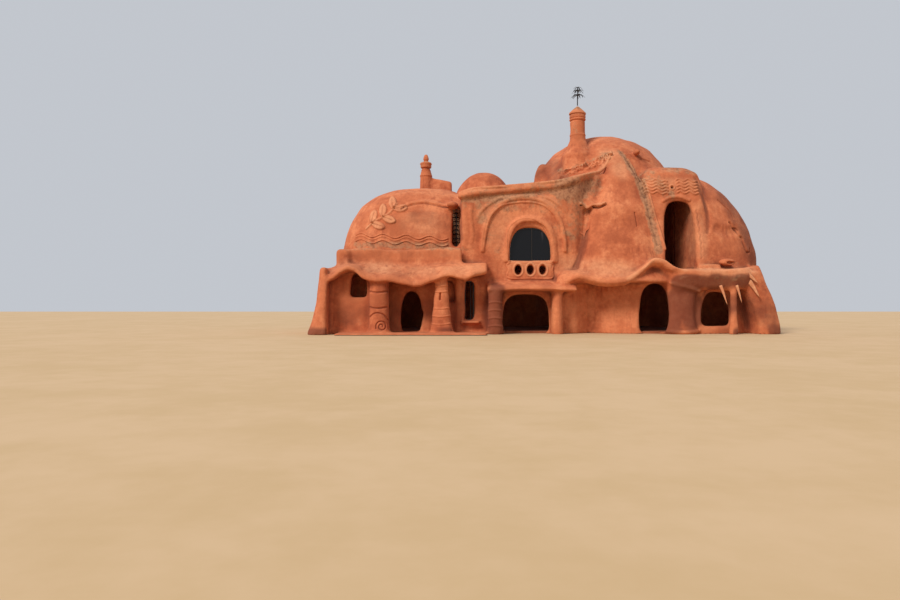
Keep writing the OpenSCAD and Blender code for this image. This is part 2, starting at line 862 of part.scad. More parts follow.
module hall_dome() color(clay) intersection() {
  hall_shell();
  level(floor_z, far);
}

// Chimneys
module main_chimney() color(pale_clay) difference() {
  translate([chimney_x, chimney_y, chimney_foot]) rotate_extrude($fn = 32) polygon([
    [flue_r, -1500], [2.4 * chimney_r, -1500], [2.2 * chimney_r, -400], [1.5 * chimney_r, 50],
    [1.1 * chimney_r, 500], [chimney_r, 1000], [chimney_r, chimney_h - 480],
    [chimney_r + 60, chimney_h - 420], [chimney_r + 60, chimney_h - 300],
    [chimney_r + 10, chimney_h - 260], [chimney_r + 70, chimney_h - 140],
    [chimney_r + 70, chimney_h], [flue_r, chimney_h]
  ]);
  middle_form();
  hall_form();
}

cap_h = 420;
module chimney_cap() color(pale_clay) translate([chimney_x, chimney_y, chimney_top]) rotate_extrude($fn = 32)
  polygon([[0, 0], [chimney_r + 20, 0], [chimney_r - 40, 90], [rod_d / 2, cap_h], [0, cap_h]]);

// Iron rod with two whorls of curled arms
arm_r = 150;
arm_d = rod_d / 2;
module iron_finial() color(iron) translate([chimney_x, chimney_y, chimney_top + cap_h]) {
  cylinder(finial_h, d = rod_d);
  for (row = [0, 1], a = [0 : 72 : 288]) rotate(a + 36 * row)
    translate([0, 0, (0.45 + 0.3 * row) * finial_h]) curled_arm((1 - 0.25 * row) * arm_r, 200 - 30 * row);
}

// Square bar bent along an arc of radius r, from its tip up and back into the rod
module curled_arm(r, turn)
  rotate([90, 0, 0]) translate([0, 0, -arm_d / 2]) linear_extrude(arm_d) polygon(concat(
    [for (i = [0 : 12]) let (t = turn * i / 12, m = r + arm_d / 2) [r + m * cos(t), m * sin(t)]],
    [for (i = [12 : -1 : 0]) let (t = turn * i / 12, m = r - arm_d / 2) [r + m * cos(t), m * sin(t)]]
  ));

small_x = 160 - left_x;
small_y = left_y + 1400;
module small_chimney() color(pale_clay) difference() {
  translate([small_x, small_y, left_top]) rotate_extrude($fn = 28) polygon([
    [0, -1200], [360, -1200], [340, 1100], [260, 1360], [330, 1500], [330, 1700], [180, 1860], [150, 2100],
    [60, 2300], [0, 2300]
  ]);
  left_form();
}

module chimney_block() color(clay) difference() {
  skin([for (u = [0, 0.5, 1]) let (x = small_x + 240 + 1300 * u, z = left_top + 900 - 260 * u)
    [for (p = [[-250, -600], [-250, 0], [-170, z - left_top], [170, z - left_top], [250, 0], [250, -600]])
      [x, small_y + p[0], left_top + p[1]]]]);
  left_form();
  middle_form();
  small_chimney();
}

module rear_dome() color(clay) difference() {
  skin([for (k = [0 : 6]) let (t = k * 15)
    ring(1425 - middle_left, middle_y + 5200, middle_low - 200 + 2100 * sin(t), 1750 * cos(t) + 20,
      1650 * cos(t) + 20, 2, 24)]);
  middle_form();
  left_form();
  chimney_block();
}

ground_floor();
upper_floor();
porch_step();
porch_roof();
terrace_parapet();
terrace_spout();
porch_end_wall();
porch_bay_wall();
porch_fold_wall();
carved_pillar();
tapered_pier();
left_wall();
left_dome();
slit_window_bars();
middle_front_wall();
middle_upper_wall();
middle_back_wall();
middle_roof();
roof_lip();
window_arch();
window_surround();
balcony_panel();
window_frame();
window_glass();
narrow_window_bars();
plant_shelf();
entrance_hood();
entrance_pier();
entrance_post();
draped_cone();
skirt_eave();
niche_block();
right_wall();
right_dome();
right_end_wall();
funnel_pillar();
thin_leg();
hall_wall();
hall_dome();
main_chimney();
chimney_cap();
iron_finial();
small_chimney();
chimney_block();
rear_dome();
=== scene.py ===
"""Looks of a hand-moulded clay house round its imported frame. Metres, +Z up, the front faces -Y."""

import json
import logging
import math
from dataclasses import dataclass
from enum import Enum

import bpy
import numpy as np
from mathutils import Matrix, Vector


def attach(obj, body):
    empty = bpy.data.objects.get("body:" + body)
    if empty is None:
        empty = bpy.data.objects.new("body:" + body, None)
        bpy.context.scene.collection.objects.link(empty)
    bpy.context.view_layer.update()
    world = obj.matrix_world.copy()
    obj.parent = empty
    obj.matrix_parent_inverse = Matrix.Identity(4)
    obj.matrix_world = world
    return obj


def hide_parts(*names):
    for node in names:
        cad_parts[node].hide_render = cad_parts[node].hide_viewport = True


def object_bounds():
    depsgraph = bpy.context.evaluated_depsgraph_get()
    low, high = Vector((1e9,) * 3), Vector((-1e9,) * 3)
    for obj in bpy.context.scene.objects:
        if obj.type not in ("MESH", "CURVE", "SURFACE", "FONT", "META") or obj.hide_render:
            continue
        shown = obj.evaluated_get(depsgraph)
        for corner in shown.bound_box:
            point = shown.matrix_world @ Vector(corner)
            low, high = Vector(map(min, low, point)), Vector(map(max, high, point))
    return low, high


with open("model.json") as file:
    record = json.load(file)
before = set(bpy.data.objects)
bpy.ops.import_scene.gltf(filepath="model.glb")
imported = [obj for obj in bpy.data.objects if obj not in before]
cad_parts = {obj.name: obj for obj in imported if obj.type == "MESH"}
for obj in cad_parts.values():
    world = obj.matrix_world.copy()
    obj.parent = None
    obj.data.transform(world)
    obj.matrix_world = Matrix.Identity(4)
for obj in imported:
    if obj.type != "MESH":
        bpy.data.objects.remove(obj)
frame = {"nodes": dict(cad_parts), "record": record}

import openvdb as vdb
from mathutils import Vector

CAD_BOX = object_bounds()
LOG = logging.getLogger("clay_house")
BODY = "root"
FLAT_FLOOR = "ground_floor"
NO_OWNER = 255
FAR_AWAY = 1e9
TINY = 1e-9

Colour = tuple[float, float, float]
Place = tuple[float, float, float]
Line = tuple[tuple[float, float], ...]
Span = tuple[float, float]
Socket = bpy.types.NodeSocket
Value = Socket | float | tuple[float, ...]


class Slot(Enum):
    """The record's material slots."""

    CLAY = "clay"
    PALE = "pale_clay"
    FLOOR = "floor_clay"
    IRON = "iron"
    GLASS = "glass"


class Mask(Enum):
    """The values that the clay carries at each point for its finish."""

    # Painted shade in hollows and grooves; below zero, a painted highlight on raised lines and bulges.
    CAVITY = "cavity"
    WEATHER = "weather"
    # Paler clay and wear, partly a painted highlight on lit edges, ridges and tops.
    PALE = "pale"
    # Painted shade under the eaves, in the porch and on sides turned from the light, and dampness at the
    # walls' foot.
    DAMP = "damp"


# Arrays and meshes


def smooth_step(low: float, high: float, value: np.ndarray) -> np.ndarray:
    """Returns 0 at low and below, 1 at high and above, and an eased value between."""
    t = np.clip((value - low) / (high - low), 0.0, 1.0)
    return t * t * (3.0 - 2.0 * t)


def unit(vectors: np.ndarray) -> np.ndarray:
    """Returns vectors of length 1 that point the same ways."""
    return vectors / np.maximum(np.linalg.norm(vectors, axis=-1, keepdims=True), TINY)


def blur(values: np.ndarray, radius: int, passes: int = 2) -> np.ndarray:
    """Averages an array over a box, along each axis in turn.

    Args:
        values: Samples on a regular grid.
        radius: Samples taken on each side.
        passes: How many times the box is applied.

    Returns:
        The blurred samples, of the same shape.
    """
    width = 2 * radius + 1
    for axis in range(3):
        pad = [(0, 0)] * 3
        pad[axis] = (radius + 1, radius)
        high, low = ([slice(None)] * 3 for _ in range(2))
        high[axis] = slice(width, None)
        low[axis] = slice(0, -width)
        for _ in range(passes):
            total = np.cumsum(np.pad(values, pad, mode="edge"), axis=axis, dtype=np.float32)
            values = (total[tuple(high)] - total[tuple(low)]) / width
    return values


def catmull_rom(points: tuple[tuple[float, ...], ...], closed: bool = False, per_span: int = 8) -> np.ndarray:
    """Runs a smooth line through points.

    Args:
        points: Points that the line passes through.
        closed: Whether the last point joins the first.
        per_span: Samples between two points.

    Returns:
        The line's samples, one a row.
    """
    p = np.array(points, float)
    n = len(p)
    rows = []
    for i in range(n if closed else n - 1):
        a, b, c, d = (p[(i + k) % n] if closed else p[min(max(i + k, 0), n - 1)] for k in (-1, 0, 1, 2))
        for t in np.arange(per_span) / per_span:
            bend = (2 * a - 5 * b + 4 * c - d) * t**2 + (3 * b - 3 * c + d - a) * t**3
            rows.append(0.5 * (2 * b + (c - a) * t + bend))
    rows.append(p[0] if closed else p[-1])
    return np.array(rows)


def distance_to_line(points: np.ndarray, line: np.ndarray) -> np.ndarray:
    """Measures how far flat points lie from a line of straight stretches.

    Args:
        points: Flat points, one a row.
        line: The line's corners, one a row.

    Returns:
        The shortest distance for each point.
    """
    best = np.full(len(points), FAR_AWAY)
    for a, b in zip(line[:-1], line[1:]):
        run = b - a
        t = np.clip((points - a) @ run / max(run @ run, TINY), 0.0, 1.0)
        gap = points - a - t[:, None] * run
        best = np.minimum(best, np.hypot(gap[:, 0], gap[:, 1]))
    return best


def inside(points: np.ndarray, line: np.ndarray) -> np.ndarray:
    """Finds the flat points inside a closed line.

    Args:
        points: Flat points, one a row.
        line: The line's corners, the last of them on the first.

    Returns:
        1 for each point inside and 0 for the rest.
    """
    odd = np.zeros(len(points), bool)
    for a, b in zip(line[:-1], line[1:]):
        if a[1] == b[1]:
            continue
        level = (a[1] > points[:, 1]) != (b[1] > points[:, 1])
        odd ^= level & (points[:, 0] < a[0] + (points[:, 1] - a[1]) * (b[0] - a[0]) / (b[1] - a[1]))
    return odd.astype(float)


@dataclass
class Shell:
    """A surface in the making: its points and its four-sided or three-sided faces."""

    points: np.ndarray
    faces: np.ndarray

    def normals(self) -> np.ndarray:
        """Works out a smooth normal for each point of four-sided faces.

        Returns:
            The unit normals, one a row.
        """
        p, f = self.points, self.faces
        flat = np.cross(p[f[:, 2]] - p[f[:, 0]], p[f[:, 3]] - p[f[:, 1]])
        total = np.zeros_like(p)
        for axis in range(3):
            for corner in range(4):
                total[:, axis] += np.bincount(f[:, corner], flat[:, axis], len(p))
        return unit(total)

    def centres(self) -> np.ndarray:
        """Returns the middle of each face."""
        return self.points[self.faces].mean(axis=1)

    def refined(self, chosen: np.ndarray) -> "Shell":
        """Splits chosen four-sided faces in four.

        Args:
            chosen: True for each face to split.

        Returns:
            The new shell.
        """
        quads = self.faces[chosen].astype(np.int64)
        count = len(self.points)
        ends = np.sort(np.stack([quads, np.roll(quads, -1, axis=1)], axis=-1).reshape(-1, 2), axis=1)
        key, inverse = np.unique(ends[:, 0] * count + ends[:, 1], return_inverse=True)
        pair = np.stack([key // count, key % count], axis=1)
        middle = count + inverse.reshape(-1, 4)
        centre = count + len(key) + np.arange(len(quads))
        added = self.points[pair].mean(axis=1), self.points[quads].mean(axis=1)
        points = np.concatenate([self.points, *added])
        parts = [np.stack([quads[:, k], middle[:, k], centre, middle[:, k - 1]], axis=1) for k in range(4)]
        return Shell(points, np.concatenate([self.faces[~chosen].astype(np.int64), *parts]))


def make_object(
    name: str,
    shells: list[Shell],
    normals: list[np.ndarray] | None = None,
    masks: dict[Mask, np.ndarray] | None = None,
) -> bpy.types.Object:
    """Makes a smooth-shaded mesh object.

    Args:
        name: The object's name.
        shells: Surfaces that are joined into one mesh.
        normals: For each shell, a normal for each point, where they aren't worked out.
        masks: For each mask, a value for each point of all shells in order.

    Returns:
        The object, linked to the scene.
    """
    mesh = bpy.data.meshes.new(name)
    points = np.concatenate([s.points for s in shells]).astype(np.float32)
    offsets = np.cumsum([0] + [len(s.points) for s in shells])
    loops = np.concatenate([(s.faces + o).ravel() for s, o in zip(shells, offsets)]).astype(np.int32)
    sizes = np.concatenate([np.full(len(s.faces), s.faces.shape[1]) for s in shells]).astype(np.int32)
    mesh.vertices.add(len(points))
    mesh.vertices.foreach_set("co", points.ravel())
    mesh.loops.add(len(loops))
    mesh.loops.foreach_set("vertex_index", loops)
    mesh.polygons.add(len(sizes))
    mesh.polygons.foreach_set("loop_start", np.concatenate([[0], np.cumsum(sizes)[:-1]]).astype(np.int32))
    mesh.update(calc_edges=True)
    mesh.validate()
    mesh.shade_smooth()
    if normals is not None:
        mesh.normals_split_custom_set_from_vertices(np.concatenate(normals).astype(np.float32))
    for mask, values in (masks or {}).items():
        layer = mesh.attributes.new(mask.value, "FLOAT", "POINT")
        layer.data.foreach_set("value", values.astype(np.float32))
    made = bpy.data.objects.new(name, mesh)
    bpy.context.scene.collection.objects.link(made)
    return made


# The clay as a distance field


@dataclass
class Grid:
    """Sample points in a box, at one step along each axis, with the ground halfway between two layers."""

    low: np.ndarray
    shape: tuple[int, int, int]
    step: float
    band: int = 10

    @classmethod
    def around(cls, box: tuple[Vector, Vector], margin: float, step: float) -> "Grid":
        """Lays a grid round a box that stands on the ground.

        Args:
            box: The box's low and high corner.
            margin: How far the grid reaches past the box.
            step: The distance between samples.

        Returns:
            The grid.
        """
        layers = int(margin / step)
        start = np.array(box[0]) - layers * step
        start[2] = -(layers - 0.5) * step
        shape = np.ceil((np.array(box[1]) + margin - start) / step).astype(int)
        return cls(start, tuple(int(v) for v in shape), step)

    @property
    def far(self) -> float:
        """The largest distance that is kept."""
        return self.band * self.step

    def along(self, axis: int, values: np.ndarray) -> np.ndarray:
        """Returns a row of values, shaped to spread over the grid from one axis."""
        return values.reshape([-1 if k == axis else 1 for k in range(3)])

    def axes(self) -> list[np.ndarray]:
        """Returns the samples' x, y and z, each shaped to spread over the grid."""
        return [self.along(i, self.low[i] + np.arange(self.shape[i]) * self.step) for i in range(3)]

    def axes_in(self, part: tuple[slice, slice, slice]) -> list[np.ndarray]:
        """Returns the samples' x, y and z inside a window of the grid."""
        return [self.along(i, axis.ravel()[part[i]]) for i, axis in enumerate(self.axes())]

    def window(self, low: np.ndarray, high: np.ndarray, reach: int) -> tuple[slice, slice, slice]:
        """Covers a box and some samples round it.

        Args:
            low: The box's low corner.
            high: The box's high corner.
            reach: How many samples more are taken on each side.

        Returns:
            A slice for each axis.
        """
        start = np.maximum(np.floor((low - self.low) / self.step).astype(int) - reach, 0)
        end = np.minimum(np.ceil((high - self.low) / self.step).astype(int) + reach + 1, self.shape)
        return tuple(slice(int(a), int(b)) for a, b in zip(start, end))

    def nearest(self, values: np.ndarray, points: np.ndarray) -> np.ndarray:
        """Returns the sample nearest to each point."""
        index = np.clip(np.rint((points - self.low) / self.step).astype(int), 0, np.array(self.shape) - 1)
        return values[tuple(index.T)]

    def between(self, values: np.ndarray, points: np.ndarray) -> np.ndarray:
        """Blends the eight samples round each point.

        Args:
            values: The samples.
            points: Where the values are wanted, one a row.

        Returns:
            The value at each point.
        """
        place = np.clip((points - self.low) / self.step, 0, np.array(self.shape) - 1.001)
        base = place.astype(int)
        t = place - base
        total = np.zeros(len(points))
        for corner in range(8):
            step = np.array([corner >> k & 1 for k in range(3)])
            total += np.prod(np.where(step, t, 1 - t), axis=1) * values[tuple((base + step).T)]
        return total

    def level_set(self, points: np.ndarray, faces: np.ndarray) -> vdb.FloatGrid:
        """Measures the distances to a closed surface.

        Args:
            points: The surface's points, one a row.
            faces: Its triangles or its four-sided faces.

        Returns:
            The distance field, kept as far as the grid's band.
        """
        kind = "triangles" if faces.shape[1] == 3 else "quads"
        return vdb.FloatGrid.createLevelSetFromPolygons(
            np.ascontiguousarray(points - self.low, dtype=np.float32),
            transform=vdb.createLinearTransform(voxelSize=self.step),
            halfWidth=self.band,
            **{kind: faces.astype(np.uint32)},
        )

    def surface(self, values: np.ndarray, adaptivity: float = 0.0) -> list[Shell]:
        """Finds the surface where the values are zero.

        Args:
            values: The samples, negative inside.
            adaptivity: From 0 to 1, how far faces join where the surface is flat.

        Returns:
            A shell of triangles where there are any, and last a shell of four-sided faces.
        """
        volume = vdb.FloatGrid(self.far)
        volume.transform = vdb.createLinearTransform(voxelSize=self.step)
        volume.copyFromArray(np.ascontiguousarray(values, dtype=np.float32))
        points, tris, quads = volume.convertToPolygons(0.0, adaptivity)
        points = points.astype(float) + self.low
        return [Shell(points, f.astype(np.int64)) for f in (tris, quads) if len(f)]

    def lumps(self, cell: float, seed: int) -> np.ndarray:
        """Makes soft noise.

        Args:
            cell: The size of a lump.
            seed: The seed of its random values.

        Returns:
            A value from -1 to 1 for each sample.
        """
        rng = np.random.default_rng(seed)
        counts = [int(n * self.step / cell) + 3 for n in self.shape]
        values = rng.uniform(-1.0, 1.0, counts).astype(np.float32)
        for axis in range(3):
            place = np.arange(self.shape[axis]) * self.step / cell
            base = place.astype(int)
            t = self.along(axis, smooth_step(0.0, 1.0, (place - base).astype(np.float32)))
            values = values.take(base, axis) * (1 - t) + values.take(base + 1, axis) * t
        return values


def joined(old: np.ndarray, added: np.ndarray, blend: float) -> np.ndarray:
    """Returns the distance to two shapes, with a soft seam of the blend's width."""
    h = np.clip(0.5 + 0.5 * (old - added) / blend, 0.0, 1.0)
    return old * (1 - h) + added * h - blend * h * (1 - h)


@dataclass(frozen=True)
class Strand:
    """A roll of clay laid along a smooth path. Its reach is how many samples past it may change."""

    points: tuple[Place, ...]
    radius: float
    blend: float = 0.05
    reach: int = 5

    def apply(self, values: np.ndarray, grid: Grid) -> None:
        """Adds the roll to the field.

        Args:
            values: The clay's distances, changed in place.
            grid: Where the samples lie.
        """
        path = catmull_rom(self.points, per_span=4)
        part = grid.window(path.min(0) - self.radius, path.max(0) + self.radius, self.reach)
        axes = grid.axes_in(part)
        best = np.full(values[part].shape, FAR_AWAY)
        for a, b in zip(path[:-1], path[1:]):
            run = b - a
            ways = [axis - a[i] for i, axis in enumerate(axes)]
            t = np.clip(sum(way * r for way, r in zip(ways, run)) / (run @ run), 0.0, 1.0)
            best = np.minimum(best, sum((way - t * r) ** 2 for way, r in zip(ways, run)))
        values[part] = joined(values[part], np.sqrt(best) - self.radius, self.blend)


@dataclass(frozen=True)
class Blob:
    """A small ball of clay added to the house, or pressed into it where it is hollow.

    Its reach is how many samples past it may change.
    """

    centre: Place
    size: Place
    hollow: bool = False
    blend: float = 0.06
    reach: int = 4

    def apply(self, values: np.ndarray, grid: Grid) -> None:
        """Changes the field inside the blob's reach.

        Args:
            values: The clay's distances, changed in place.
            grid: Where the samples lie.
        """
        centre, size = np.array(self.centre), np.array(self.size)
        part = grid.window(centre - size, centre + size, self.reach)
        ways = [(axis - centre[i]) / size[i] for i, axis in enumerate(grid.axes_in(part))]
        ball = (np.sqrt(ways[0] ** 2 + ways[1] ** 2 + ways[2] ** 2) - 1.0) * size.min()
        old = values[part]
        values[part] = np.maximum(old, -ball) if self.hollow else joined(old, ball, self.blend)


@dataclass
class ClayField:
    """The distances to all the clay nodes, joined and softened as hands would.

    Clay far from small pieces is softened most, clay near them less, and clay near the sharp ones not at all.

    Attributes:
        nodes: The solids of the clay pieces by name.
        broad: The names of the large pieces.
        sharp: The names of the pieces that stay crisp.
        additions: The lumps, rolls and pits, in the order in which they are added.
        step: The distance between samples.
        margin: How far the field reaches past the house.
        softening: How many samples on each side the large pieces are blurred by.
        crisp_reach: Between these distances from a small piece the softening grows.
        sharp_reach: The same for a sharp piece.
        lump_sizes: The size and the height of each kind of lump.
        lump_seed: The seed of the first kind.
        room_calm: The share that is taken off the lumps indoors.
        foot_calm: Between these heights over the ground the lumps grow.
        hollow_radius: How many samples on each side a hollow is judged by.
        front: Faces before this depth always belong to the fine surface.
        overlap: How far before that depth the rooms' coarse surface starts.
        outer_limit: The share of room air at which a face isn't outside any more.
        room_limit: The share of room air above which a face belongs to a room.
        room_adaptivity: How far the rooms' faces join where they are flat.
        probe: How many steps before a face its air is looked at.
        downward: Faces whose normal's z is above this are probed over the ground only.
    """

    nodes: dict[str, bpy.types.Object]
    broad: tuple[str, ...]
    sharp: tuple[str, ...]
    additions: list[Blob | Strand]
    step: float = 0.06
    margin: float = 0.7
    softening: int = 2
    crisp_reach: Span = (0.1, 0.45)
    sharp_reach: Span = (0.0, 0.2)
    lump_sizes: tuple[Span, ...] = ((1.6, 0.04), (0.7, 0.022), (0.33, 0.009))
    lump_seed: int = 11
    room_calm: float = 0.7
    foot_calm: Span = (-0.1, 0.8)
    hollow_radius: int = 3
    front: float = -3.4
    overlap: float = 0.4
    outer_limit: float = 0.85
    room_limit: float = 0.25
    room_adaptivity: float = 0.8
    probe: float = 2.5
    downward: float = -0.9

    def __post_init__(self) -> None:
        """Measures, joins and shapes the field."""
        self.grid = Grid.around(CAD_BOX, self.margin, self.step)
        self.names = sorted(self.nodes)
        self.measure()
        self.join()
        self.room = self.room_share()
        self.shape()

    def measure(self) -> None:
        """Works out the nearest node and the distances to all, to the small and to the sharp ones."""
        grid = self.grid
        self.union, self.detail, self.keen = (np.full(grid.shape, grid.far, np.float32) for _ in range(3))
        self.owner = np.full(grid.shape, NO_OWNER, np.uint8)
        for number, name in enumerate(self.names):
            mesh = self.nodes[name].data
            mesh.calc_loop_triangles()
            points = np.empty(len(mesh.vertices) * 3, np.float32)
            mesh.vertices.foreach_get("co", points)
            tris = np.empty(len(mesh.loop_triangles) * 3, np.int32)
            mesh.loop_triangles.foreach_get("vertices", tris)
            points = points.reshape(-1, 3)
            part = grid.window(points.min(0), points.max(0), grid.band)
            near = np.full([s.stop - s.start for s in part], grid.far, np.float32)
            grid.level_set(points, tris.reshape(-1, 3)).copyToArray(near, ijk=tuple(s.start for s in part))
            closer = near < self.union[part]
            self.union[part][closer] = near[closer]
            self.owner[part][closer] = number
            if name not in self.broad:
                self.detail[part] = np.minimum(self.detail[part], near)
            if name in self.sharp:
                self.keen[part] = np.minimum(self.keen[part], near)

    def join(self) -> None:
        """Measures the distances again from the joined surface, and mirrors them in the ground."""
        outline = self.grid.surface(self.union)[-1]
        self.union[:] = self.grid.far
        self.grid.level_set(outline.points, outline.faces).copyToArray(self.union)
        layers = int(round(-self.grid.low[2] / self.step + 0.5))
        self.union[:, :, :layers] = self.union[:, :, layers : 2 * layers][:, :, ::-1]

    def room_share(self) -> np.ndarray:
        """Finds the air that clay shuts in on both sides, behind and above.

        Returns:
            The share of room air round each sample, from 0 to 1.
        """
        solid = self.union < 0
        shut = np.ones(solid.shape, bool)
        for axis, backward in ((0, False), (0, True), (1, True), (2, True)):
            view = np.flip(solid, axis) if backward else solid
            seen = np.logical_or.accumulate(view, axis=axis)
            shut &= np.flip(seen, axis) if backward else seen
        return blur((shut & ~solid).astype(np.float32), 2, 1)

    def indoors(self, share: np.ndarray) -> np.ndarray:
        """Returns 1 where a third or more of the air round a place is a room's, and less outside."""
        return np.clip(3.0 * share, 0.0, 1.0)

    def shape(self) -> None:
        """Softens the joined field, adds lumps, blobs and strands, and cuts it off at the ground."""
        height = self.grid.axes()[2]
        weight = smooth_step(*self.crisp_reach, self.detail)
        values = weight * blur(self.union, self.softening) + (1.0 - weight) * blur(self.union, 1)
        weight = smooth_step(*self.sharp_reach, self.keen)
        values = weight * values + (1.0 - weight) * self.union
        calm = (1.0 - self.room_calm * self.indoors(self.room)) * smooth_step(*self.foot_calm, height)
        for number, (cell, lump) in enumerate(self.lump_sizes):
            values += lump * self.grid.lumps(cell, self.lump_seed + number) * calm
        for addition in self.additions:
            addition.apply(values, self.grid)
        self.values = np.maximum(values, -height).astype(np.float32)
        # How far each sample lies in a hollow, which paints shade into hollows and a highlight onto bulges.
        self.hollow = (self.values - blur(self.values, self.hollow_radius)) / self.step

    def skin(self) -> tuple[Shell, list[Shell]]:
        """Takes a fine surface outside and a coarse one in the rooms, which overlap a little.

        Returns:
            The fine shell, and the coarse shells of triangles and of four-sided faces.
        """
        fine = self.grid.surface(self.values)[-1]
        shown = (self.inner_share(fine) < self.outer_limit) | (fine.centres()[:, 1] < self.front)
        kept = []
        for shell in self.grid.surface(self.values, self.room_adaptivity):
            room = self.inner_share(shell, corners=True) > self.room_limit
            room &= shell.centres()[:, 1] > self.front - self.overlap
            kept.append(Shell(shell.points, shell.faces[room]))
        return Shell(fine.points, fine.faces[shown]), kept

    def inner_share(self, shell: Shell, corners: bool = False) -> np.ndarray:
        """Works out how much of the air in front of each face belongs to a room.

        Args:
            shell: The faces.
            corners: Whether the corners count too, where faces are large.

        Returns:
            The largest share of each face, from 0 to 1.
        """
        p, f = shell.points, shell.faces
        flat = unit(np.cross(p[f[:, 1]] - p[f[:, 0]], p[f[:, 2]] - p[f[:, 0]]))
        foot = flat[:, 2] > self.downward
        best = np.zeros(len(f))
        for start in (shell.centres(), *(p[f[:, k]] for k in range(f.shape[1] if corners else 0))):
            place = start + self.probe * self.step * flat
            place[foot, 2] = np.maximum(place[foot, 2], 0.5 * self.step)
            best = np.maximum(best, self.grid.between(self.room, place))
        return best

    def slope(self, points: np.ndarray) -> np.ndarray:
        """Works out normals from the field's slope.

        Args:
            points: Points on the surface, one a row.

        Returns:
            The unit normals, one a row.
        """
        steps = self.step * np.eye(3)
        sides = [[self.grid.between(self.values, points + way * s) for way in (1, -1)] for s in steps]
        return unit(np.stack([ahead - behind for ahead, behind in sides], axis=1))


# Lines, stains and painted shade, laid out on the front elevation


def lifted(line: Line, height: float) -> Line:
    """Returns a line moved up."""
    return tuple((x, z + height) for x, z in line)


def oval(x: float, z: float, half_width: float, half_height: float, count: int) -> Line:
    """Returns the points of an oval round a middle."""
    turns = [2 * math.pi * k / count for k in range(count)]
    return tuple((x + half_width * math.cos(a), z + half_height * math.sin(a)) for a in turns)


@dataclass(frozen=True)
class Mark:
    """A line raised from the clay, or pressed into it where its height is negative.

    The line lies on the front elevation, as x and z, and takes clay that faces the front between two depths,
    or clay that faces any way where it goes all round. A filled mark takes the whole inside of a closed line.

    Attributes:
        points: What the line passes through.
        width: How far from the line the mark reaches.
        height: How high it stands.
        depths: The range of y in which clay is marked.
        closed: Whether the last point joins the first.
        filled: Whether the inside is marked too.
        all_round: Whether clay that faces any way is marked.
        wave: How far the line swings up and down.
        sway: How far it swings from side to side.
        period: The length of one swing.
        tint: How pale the mark is, partly as a painted highlight, from 0 to 1.
        taper: The length over which both ends fade, or 0.
        per_wave: Samples for each swing.
        core: The share of the width that has the full height.
        depth_fade: The length over which the mark fades at its depths.
        turn_fade: Between these values of -y of the normal the mark grows.
    """

    points: Line
    width: float
    height: float
    depths: Span
    closed: bool = False
    filled: bool = False
    all_round: bool = False
    wave: float = 0.0
    sway: float = 0.0
    period: float = 1.0
    tint: float = 0.0
    taper: float = 0.0
    per_wave: int = 12
    core: float = 0.15
    depth_fade: float = 0.14
    turn_fade: Span = (0.04, 0.34)

    def line(self) -> np.ndarray:
        """Works out the line with its waves.

        Returns:
            The line's samples, one a row.
        """
        base = catmull_rom(self.points, self.closed)
        if not (self.wave or self.sway):
            return base
        run = np.concatenate([[0.0], np.cumsum(np.hypot(*np.diff(base, axis=0).T))])
        along = np.arange(0.0, run[-1], self.period / self.per_wave)
        x, z = (np.interp(along, run, base[:, k]) for k in (0, 1))
        swing = np.sin(2 * math.pi * along / self.period)
        return np.stack([x + self.sway * swing, z + self.wave * swing], axis=1)

    def near(self, points: np.ndarray, normals: np.ndarray, reach: float) -> np.ndarray:
        """Finds the points that the line may move.

        Args:
            points: Points of the clay, one a row.
            normals: Which way the clay faces there.
            reach: How far past the mark's width points still count.

        Returns:
            True for each point that may move.
        """
        line = self.line()
        flat = points[:, (0, 2)]
        low, high = line.min(0) - self.width - reach, line.max(0) + self.width + reach
        found = np.all((flat > low) & (flat < high), axis=1)
        found &= (points[:, 1] > self.depths[0]) & (points[:, 1] < self.depths[1])
        return found & ((normals[:, 1] < -self.turn_fade[0]) | self.all_round)

    def fade(self, points: np.ndarray, normals: np.ndarray) -> np.ndarray:
        """Weakens the mark near its depths and where the clay turns away.

        Args:
            points: Points of the clay, one a row.
            normals: Which way the clay faces there.

        Returns:
            From 0 to 1, how much of the mark is left at each point.
        """
        low, high = self.depths
        share = smooth_step(low, low + self.depth_fade, points[:, 1])
        share *= 1.0 - smooth_step(high - self.depth_fade, high, points[:, 1])
        return share if self.all_round else share * smooth_step(*self.turn_fade, -normals[:, 1])

    def profile(self, flat: np.ndarray) -> np.ndarray:
        """Works out the mark's section across its line.

        Args:
            flat: The points' x and z, one a row.

        Returns:
            From 0 to 1, how much of the height each point takes.
        """
        line = self.line()
        share = 1.0 - smooth_step(self.core * self.width, self.width, distance_to_line(flat, line))
        if self.taper:
            ends = np.minimum(*(np.hypot(*(flat - line[k]).T) for k in (0, -1)))
            share *= smooth_step(0.0, self.taper, ends)
        return np.maximum(share, inside(flat, line)) if self.filled else share


@dataclass(frozen=True)
class Wash:
    """A soft-edged wash along a line of the front elevation: stains, pale places and painted shade are laid
    as washes. Its core has the full strength.
    """

    mask: Mask
    points: Line
    width: float
    strength: float
    depths: Span
    core: float = 0.2

    def share(self, points: np.ndarray) -> np.ndarray:
        """Works out the wash's strength.

        Args:
            points: Points of the clay, one a row.

        Returns:
            The strength at each point.
        """
        flat = points[:, (0, 2)]
        line = np.array(self.points)
        low, high = line.min(0) - self.width, line.max(0) + self.width
        near = np.all((flat > low) & (flat < high), axis=1)
        near &= (points[:, 1] > self.depths[0]) & (points[:, 1] < self.depths[1])
        result = np.zeros(len(points))
        gap = distance_to_line(flat[near], line)
        result[near] = self.strength * (1.0 - smooth_step(self.core * self.width, self.width, gap))
        return result


